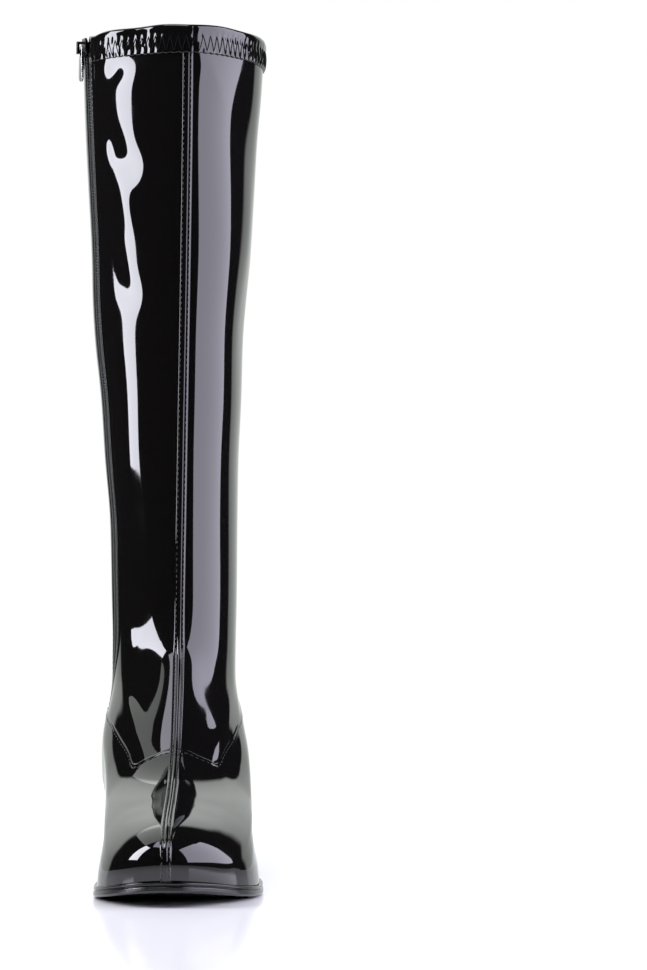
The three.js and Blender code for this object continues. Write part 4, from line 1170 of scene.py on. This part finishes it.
# The hem's zigzag: one long thread on the outer face of the band, from one side of the zip
# round to the other.
ZIGZAG_THREAD = 0.2
ZIGZAG_LIFT = 0.1
ZIGZAG_CLEAR = 3.0
LEG_POINTS = 7
turns_at = np.arange(hem_start + ZIGZAG_CLEAR, hem_end - ZIGZAG_CLEAR, ZIGZAG_PITCH / 2)
phase = np.round(turns_at / (ZIGZAG_PITCH / 2))
turns_at = phase * ZIGZAG_PITCH / 2
ends_down = np.where(phase % 2 == 1, ZIGZAG_TOP, ZIGZAG_FOOT)
leg = np.linspace(0, 1, LEG_POINTS)[:-1]
arcs = (turns_at[:-1, None] + leg * np.diff(turns_at)[:, None]).ravel()
down = (ends_down[:-1, None] + leg * np.diff(ends_down)[:, None]).ravel()
path_down, path_out = HEM_PATH["down"][:OUTER_PLACES], HEM_PATH["out"][:OUTER_PLACES]
level = np.interp(-down, -path_down, hem_levels[:OUTER_PLACES])
arcs = arcs * along_levels(WHOLE_ARC, level) / top_arc
turn = turn_of(level, arcs)
around = from_front(level, turn)
lift = hem_heights(down, arcs, np.interp(-down, -path_down, path_out)) + ZIGZAG_LIFT
lift = lift + HEM_SEAM * seam_height(np.abs(around))
from_end = np.minimum(arcs - hem_start, hem_end - arcs)
route, _ = on_skin(level, turn, lift * end_fullness(from_end))
wave = np.interp(around, RIM_WAVES["around"], RIM_WAVES["up"])
route[:, 2] += wave * wave_share(down, from_end)

# Waxed thread: matt, and pulled so deep into the film that it shows plain black.
waxed = surface(
    "waxed_black_thread",
    {"Base Color": linear(0x060606), "Specular IOR Level": 0.15},
    gloss=({"Scale": 2600.0, "Detail": 1.0}, {"To Min": 0.75, "To Max": 0.95}),
)


def tube(name, route, radius, material, sides=6):
    """A round thread along points, closed at its ends."""
    ahead = np.gradient(route, axis=0)
    ahead /= np.linalg.norm(ahead, axis=1, keepdims=True)
    level_side = np.cross(ahead, [0.0, 0.0, 1.0]) + 1e-9
    level_side /= np.linalg.norm(level_side, axis=1, keepdims=True)
    other = np.cross(ahead, level_side)
    angles = np.linspace(0, 2 * np.pi, sides, endpoint=False)
    ring = level_side[:, None] * np.cos(angles)[:, None] + other[:, None] * np.sin(angles)[:, None]
    grid = np.swapaxes(route[:, None] + radius * ring, 0, 1)
    return ribbon_piece(name, grid, material, None)


zigzag = tube("hem_zigzag", route, ZIGZAG_THREAD, waxed)
for piece in (stitches, zigzag):
    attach(piece, "boot")

# Zip: a black nylon coil on two woven tapes, sewn behind the slit on the boot's inner side.
# It is closed, with its slider parked just under the rim.
TAPE_DEPTH = 1.8
TAPE_THICKNESS = 0.8
TAPE_OVERLAP = 8.0
TAPE_SPLITS = 9
TAPE_ROWS = 260
TAPE_END = 0.45
TAPE_TOP = 1.5
HALF_GAP = 0.15
COIL_PITCH = 1.54
COIL_REACH = 2.7
COIL_CREST = 0.85
COIL_WIRE = 0.38
COIL_START = 3.0
COIL_END = 1.5
SLIDER_TOP = 429.5

# Woven polyester tape: matt, with a rib across, drawn coarser than the real one to show.
TAPE_RIB_MM = 0.9
webbing = surface(
    "woven_polyester_tape",
    {"Base Color": linear(0x121213), "Roughness": 0.85, "Sheen Weight": 0.2},
    relief=(
        "ShaderNodeTexWave",
        {"Scale": 1000 / TAPE_RIB_MM / 2 / math.pi, "Distortion": 1.0},
        {"Strength": 0.5, "Distance": 0.0002},
    ),
)
tape_levels = np.linspace(ZIP_FOOT_LEVEL - TAPE_END, front_level(BOOT_HEIGHT - TAPE_TOP), TAPE_ROWS)
for name, side in (("zip_tape_front", -1), ("zip_tape_back", 1)):
    away = side * np.linspace(HALF_GAP, ZIP_SLIT / 2 + TAPE_OVERLAP, TAPE_SPLITS)
    away = np.concatenate([away, away[::-1]])[:, None] + 0 * tape_levels
    level = tape_levels[None, :] + 0 * away
    depth = np.repeat([TAPE_DEPTH, TAPE_DEPTH + TAPE_THICKNESS], TAPE_SPLITS)
    turn = turn_of(level, along_levels(ZIP_ARC, level) + away)
    grid, _ = on_skin(level, turn, -depth[:, None] + 0 * level)
    tape = ribbon_piece(name + "_cloth", grid, webbing, 40)
    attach(tape, "boot")
    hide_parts(name)

# Nylon monofilament, wound into a coil: smooth and half glossy.
nylon = surface(
    "black_nylon_coil",
    {"Base Color": linear(0x1B1B1D)},
    gloss=({"Scale": 900.0, "Detail": 2.0}, {"To Min": 0.22, "To Max": 0.42}),
)

# One tooth: an arch of wire, from its foot in the tape over its crest to its head.
TOOTH_ARCH = {"Start": (-1.0, 0.0, -1.5), "Middle": (-0.55, 0.0, 1.0), "End": (0.2, 0.0, 0.0)}
tooth_tree, start, end = new_tree(
    "coil_tooth", {"Reach": "Float", "Crest": "Float", "Wire": "Float", "Material": "Material"}
)
links = {"X": start.outputs["Reach"], "Z": start.outputs["Crest"]}
size = add(tooth_tree, "ShaderNodeCombineXYZ", links)
bend = {"Resolution": 5}
for label, shares in TOOTH_ARCH.items():
    links = {0: size.outputs[0], 1: shares}
    bend[label] = add(tooth_tree, "ShaderNodeVectorMath", links, operation="MULTIPLY").outputs[0]
arch = add(tooth_tree, "GeometryNodeCurveQuadraticBezier", bend)
links = {"Resolution": 6, "Radius": start.outputs["Wire"]}
wire = add(tooth_tree, "GeometryNodeCurvePrimitiveCircle", links)
tooth = add(
    tooth_tree,
    "GeometryNodeCurveToMesh",
    {"Curve": arch.outputs[0], "Profile Curve": wire.outputs[0], "Fill Caps": True},
)
finish_tree(tooth_tree, start, end, tooth.outputs[0])
levels = np.linspace(zip_level(ZIP_FOOT + COIL_START), zip_level(SLIDER_TOP - COIL_END), 900)
turns = turn_of(levels, along_levels(ZIP_ARC, levels))
places, upward, outward = laid_out(levels, turns, COIL_PITCH / 2, 0 * levels)
around = np.cross(outward, upward)
sides = np.where(np.arange(len(places)) % 2 == 0, 1.0, -1.0)
values = {"Reach": COIL_REACH * MM, "Crest": COIL_CREST * MM, "Wire": COIL_WIRE * MM}
values["Material"] = nylon
coil = repeated("zip_coil", tooth_tree, places, -around * sides[:, None], outward, values)
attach(coil, "boot")
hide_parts("zip_chain")


# Slider and pull tab: zinc, die-cast, tumbled and plated, the slider in black nickel and its tab
# in bright nickel. The plate is polished, with fine wear that dulls it here and there.
def plated(name, colour, low, high):
    """A plated metal, with its colour and the range of its roughness."""
    wear = {"Scale": 700.0, "Detail": 3.0}
    return surface(
        name,
        {"Base Color": linear(colour), "Metallic": 1.0},
        gloss=(wear, {"To Min": low, "To Max": high}),
        relief=("ShaderNodeTexNoise", wear, {"Strength": 0.1, "Distance": 0.0001}),
    )


black_nickel = plated("black_nickel_plate", 0x262628, 0.2, 0.4)
bright_nickel = plated("bright_nickel_plate", 0xA9AAAC, 0.18, 0.36)


def rounded_copy(node, name, edge, material, segments=3):
    """A copy of a model's piece with its flat faces joined and its edges rounded."""
    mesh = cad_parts[node].data.copy()
    mesh.name = name
    form = bmesh.new()
    form.from_mesh(mesh)
    bmesh.ops.remove_doubles(form, verts=form.verts, dist=1e-6)
    bmesh.ops.dissolve_limit(form, angle_limit=0.02, verts=form.verts, edges=form.edges)
    form.to_mesh(mesh)
    form.free()
    mesh.polygons.foreach_set("use_smooth", [True] * len(mesh.polygons))
    mesh.materials.clear()
    mesh.materials.append(material)
    piece = placed(name, mesh)
    rounding = piece.modifiers.new("rounding", "BEVEL")
    rounding.width = edge * MM
    rounding.segments = segments
    rounding.limit_method = "ANGLE"
    rounding.harden_normals = True
    return piece


slider = rounded_copy("zip_slider", "zip_slider_cast", 0.28, black_nickel)
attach(slider, "boot")
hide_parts("zip_slider")
tab = rounded_copy("zip_pull_tab", "zip_pull_tab_cast", 0.3, bright_nickel)
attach(tab, "zip_pull")
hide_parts("zip_pull_tab")

# Bottom stop: a small clamp of nickel-plated brass, pressed over the foot of the coil, where it
# holds the slider back.
STOP_WIDTH, STOP_DEPTH, STOP_HEIGHT = 6.0, 1.8, 3.2
STOP_UP = 2.2
STOP_SINK = 0.6
STOP_EDGE = 0.5
levels = zip_level(ZIP_FOOT + STOP_UP) + np.array([0.0, 0.05])
turns = turn_of(levels, along_levels(ZIP_ARC, levels))
points, outwards = on_skin(levels, turns, 0 * levels - STOP_SINK)
centre, outward = points[0], Vector(outwards[0])
upward = Vector(points[1] - centre).normalized()
sideways = outward.cross(upward).normalized()
axes = Matrix((sideways, outward, upward)).transposed().to_4x4()
mesh = bpy.data.meshes.new("zip_bottom_stop")
form = bmesh.new()
bmesh.ops.create_cube(form, size=1.0)
sizes = Matrix.Diagonal((STOP_WIDTH * MM, STOP_DEPTH * MM, STOP_HEIGHT * MM, 1.0))
form.transform(Matrix.Translation(Vector(centre) * MM) @ axes @ sizes)
bmesh.ops.bevel(
    form,
    geom=list(form.edges),
    offset=STOP_EDGE * MM,
    segments=3,
    profile=0.5,
    affect="EDGES",
    clamp_overlap=True,
)
bmesh.ops.recalc_face_normals(form, faces=form.faces)
form.to_mesh(mesh)
form.free()
mesh.polygons.foreach_set("use_smooth", [True] * len(mesh.polygons))
mesh.materials.append(bright_nickel)
stop = placed("zip_bottom_stop", mesh)
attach(stop, "boot")

# Outsole: one moulding of black rubber under the whole foot, glued to the upper. Its side has
# a thin lip, a groove and a rounded edge with fine lines, and its tread is ribbed.
SEAT_GAP = 0.45
SOLE_MARGIN = 2.2
SOLE_POINTS = 480
TREAD_PITCH = 4.0
TREAD_DEPTH = 0.5
SOLE_EDGE = named(
    "out down",
    [
        [-0.4, 0],
        [-0.12, 0.015],
        [0.02, 0.06],
        [0.05, 0.14],
        [0, 0.23],
        [-0.2, 0.265],
        [-0.62, 0.29],
        [-0.72, 0.33],
        [-0.6, 0.375],
        [-0.12, 0.41],
        [0.08, 0.45],
        [0.2, 0.51],
        [0.27, 0.56],
        [0.17, 0.585],
        [0.3, 0.61],
        [0.32, 0.66],
        [0.2, 0.69],
        [0.3, 0.715],
        [0.27, 0.78],
        [0.15, 0.86],
        [-0.1, 0.93],
        [-0.45, 0.98],
        [-1, 1],
    ],
)


def sole_outline(margin, count=SOLE_POINTS):
    """The line where the upper meets the sole, moved outwards: from the toe by the inner side."""
    turns = np.arange(count) * 2 / count
    points, before, after = (
        last_point(0.0, np.mod(turns + step, 2))[:, :2] for step in (0.0, -0.01, 0.01)
    )
    ahead = after - before
    ahead /= np.linalg.norm(ahead, axis=1, keepdims=True)
    return points + margin * np.stack([-ahead[:, 1], ahead[:, 0]], axis=1)


def lofted(name, rings, splits, top_z, foot_z, material, sharp):
    """A body from rings stacked downwards, closed above and below by strips across it."""
    rings = np.asarray(rings)
    levels, count = rings.shape[:2]
    number = np.arange(levels * count).reshape(levels, count)
    vertices = list(rings.reshape(-1, 3))
    faces = []
    for i in range(levels - 1):
        m = np.roll(number[i], -1)
        below, m_below = number[i + 1], np.roll(number[i + 1], -1)
        faces += np.stack([number[i], m, m_below, below], axis=1).tolist()
    for row, height, turned in ((0, top_z, True), (levels - 1, foot_z, False)):
        half = count // 2
        strips = []
        for k in range(half + 1):
            a, b = number[row, k], number[row, (count - k) % count]
            pa, pb = rings[row, k], rings[row, (count - k) % count]
            if a == b:
                strips.append([a] * (splits + 1))
                continue
            strip = [a]
            for share in np.linspace(0, 1, splits + 1)[1:-1]:
                point = mix(pa, pb, share)
                point[2] = height(point[0], point[1], share, point[2])
                strip.append(len(vertices))
                vertices.append(point)
            strips.append(strip + [b])
        for k in range(half):
            for n in range(splits):
                face = [strips[k][n], strips[k][n + 1], strips[k + 1][n + 1], strips[k + 1][n]]
                face = list(dict.fromkeys(face))
                if len(face) > 2:
                    faces.append(face[::-1] if turned else face)
    return new_piece(name, vertices, faces, material, sharp)


# Moulded rubber: half glossy on its side, with the faint mottle of a blasted mould.
rubber = surface(
    "black_moulded_rubber",
    {"Base Color": linear(0x0B0B0C)},
    gloss=({"Scale": 90.0, "Detail": 3.0}, {"To Min": 0.1, "To Max": 0.26}),
    relief=(
        "ShaderNodeTexNoise",
        {"Scale": 1400.0, "Detail": 2.0},
        {"Strength": 0.15, "Distance": 0.0001},
    ),
)
rings = []
for out, down in zip(*SOLE_EDGE.values()):
    flat = sole_outline(SOLE_MARGIN + out)
    top = feather(flat[:, 1]) - SEAT_GAP
    rings.append(np.column_stack([flat, mix(top, underside(flat[:, 1]), down)]))
TREAD_FRONT = HEEL_BACK - 0.9 * SOLE_LENGTH
TREAD_BACK = HEEL_BACK - 0.5 * SOLE_LENGTH
TREAD_FADE = 3.0
TREAD_BOW = 3.0


def tread(x, y, share, z):
    """The ribs under the forefoot, cut upwards from the flat of the sole."""
    inside = smooth((0.42 - abs(share - 0.5)) / 0.03)
    inside *= smooth((y - TREAD_FRONT) / TREAD_FADE) * smooth((TREAD_BACK - y) / TREAD_FADE)
    bowed = y + TREAD_BOW * math.sin(share * math.pi)
    ribs = 0.5 + 0.5 * math.cos(2 * math.pi * bowed / TREAD_PITCH)
    return float(underside(y) + TREAD_DEPTH * inside * ribs)


def seat(x, y, share, z):
    """The top of the sole, just under the upper."""
    return float(feather(y) - SEAT_GAP)


outsole = lofted("outsole_moulding", rings, 26, seat, tread, rubber, 60)
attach(outsole, "boot")
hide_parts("outsole")

# Insole: a board covered in black brushed cloth, cemented into the bottom of the upper, its
# middle a little cupped by the last. The nap makes it soft and matt.
INSOLE_THICKNESS = 2.5
INSOLE_EASE = 1.7
INSOLE_CUP = 0.7
insole_cloth = surface(
    "brushed_insole_cloth",
    {
        "Base Color": linear(0x1C1B1D),
        "Roughness": 0.95,
        "Sheen Weight": 0.4,
        "Sheen Roughness": 0.4,
    },
    relief=(
        "ShaderNodeTexNoise",
        {"Scale": 1800.0, "Detail": 3.0},
        {"Strength": 0.5, "Distance": 0.0003},
    ),
)
rings = []
for inset, up in ((0.6, 1.0), (0.15, 0.85), (0, 0.6), (0, 0)):
    flat = sole_outline(-WALL - INSOLE_EASE - inset, 240)
    rings.append(np.column_stack([flat, feather(flat[:, 1]) + up * INSOLE_THICKNESS]))


def cupped(x, y, share, z):
    """The top of the insole, lower in the middle."""
    return z - INSOLE_CUP * smooth((0.5 - abs(share - 0.5)) / 0.3)


def flat_board(x, y, share, z):
    """The underside of the insole."""
    return z


insole = lofted("insole_board", rings, 12, cupped, flat_board, insole_cloth, 50)
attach(insole, "boot")
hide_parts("insole")

# Heel: a low block of moulded plastic, wrapped in the same patent and nailed on through the
# insole, with a rubber top lift pinned under it.
HEEL_LENGTH = 60.0
HEEL_INSET = 1.0
HEEL_FOOT = 0.88
BREAST_SLOPE = 3.0
LIFT_THICKNESS = 5.5
GAP = 0.3


def heel_outline(share):
    """The back of the sole cut straight at the breast, drawn in by a share."""
    breast = HEEL_BACK - HEEL_LENGTH
    line = sole_outline(SOLE_MARGIN - HEEL_INSET, 960)
    behind = np.nonzero(line[:, 1] > breast)[0]
    ends = []
    for inside, outside in ((behind[0], behind[0] - 1), (behind[-1], behind[-1] + 1)):
        part = (breast - line[outside, 1]) / (line[inside, 1] - line[outside, 1])
        ends.append(mix(line[outside], line[inside], part))
    points = np.concatenate([[ends[0]], line[behind][::3], [ends[1]]])
    lean = smooth((points[:, 1] - breast) / HEEL_LENGTH)
    y = points[:, 1] * share - BREAST_SLOPE * (1 - share) * (1 - lean)
    return np.column_stack([points[:, 0] * share, y])


def stacked(name, rings, material, sharp=50):
    """A body from rings stacked downwards, with a flat face above and below."""
    rings = np.asarray(rings)
    count = rings.shape[1]
    number = np.arange(rings.shape[0] * count).reshape(-1, count)
    faces = [number[0].tolist()[::-1], number[-1].tolist()]
    for upper, lower in zip(number[:-1], number[1:]):
        faces += np.stack([upper, np.roll(upper, -1), np.roll(lower, -1), lower], axis=1).tolist()
    return new_piece(name, rings.reshape(-1, 3), faces, material, sharp)


HEEL_DOWN = (0.0, 0.3, 0.55, 0.8, 1.0)
HEEL_SHARE = (1.0, 0.955, 0.917, 0.893, HEEL_FOOT)
HEEL_TUCK = 0.006
rings = []
foot_z = LIFT_THICKNESS + GAP
for down in (0.0, 0.02, 0.12, 0.25, 0.4, 0.55, 0.7, 0.85, 0.97, 1.0):
    tuck = HEEL_TUCK if down in (0.0, 1.0) else 0.0
    flat = heel_outline(np.interp(down, HEEL_DOWN, HEEL_SHARE) - tuck)
    top = underside(flat[:, 1]) - GAP
    rings.append(np.column_stack([flat, mix(top, foot_z, down)]))
heel = stacked("heel_wrapped", rings, patent)
lift_rings = []
for up, tuck in ((1.0, 0.008), (0.94, 0), (0.5, 0), (0.06, 0), (0.0, 0.01)):
    flat = heel_outline(HEEL_FOOT - tuck)
    lift_rings.append(np.column_stack([flat, 0 * flat[:, 0] + up * LIFT_THICKNESS]))
lift = stacked("heel_top_lift_rubber", lift_rings, rubber)
for piece, node, slot in ((heel, "heel", "heel_cover"), (lift, "heel_top_lift", "top_lift")):
    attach(piece, "boot")
    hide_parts(node)
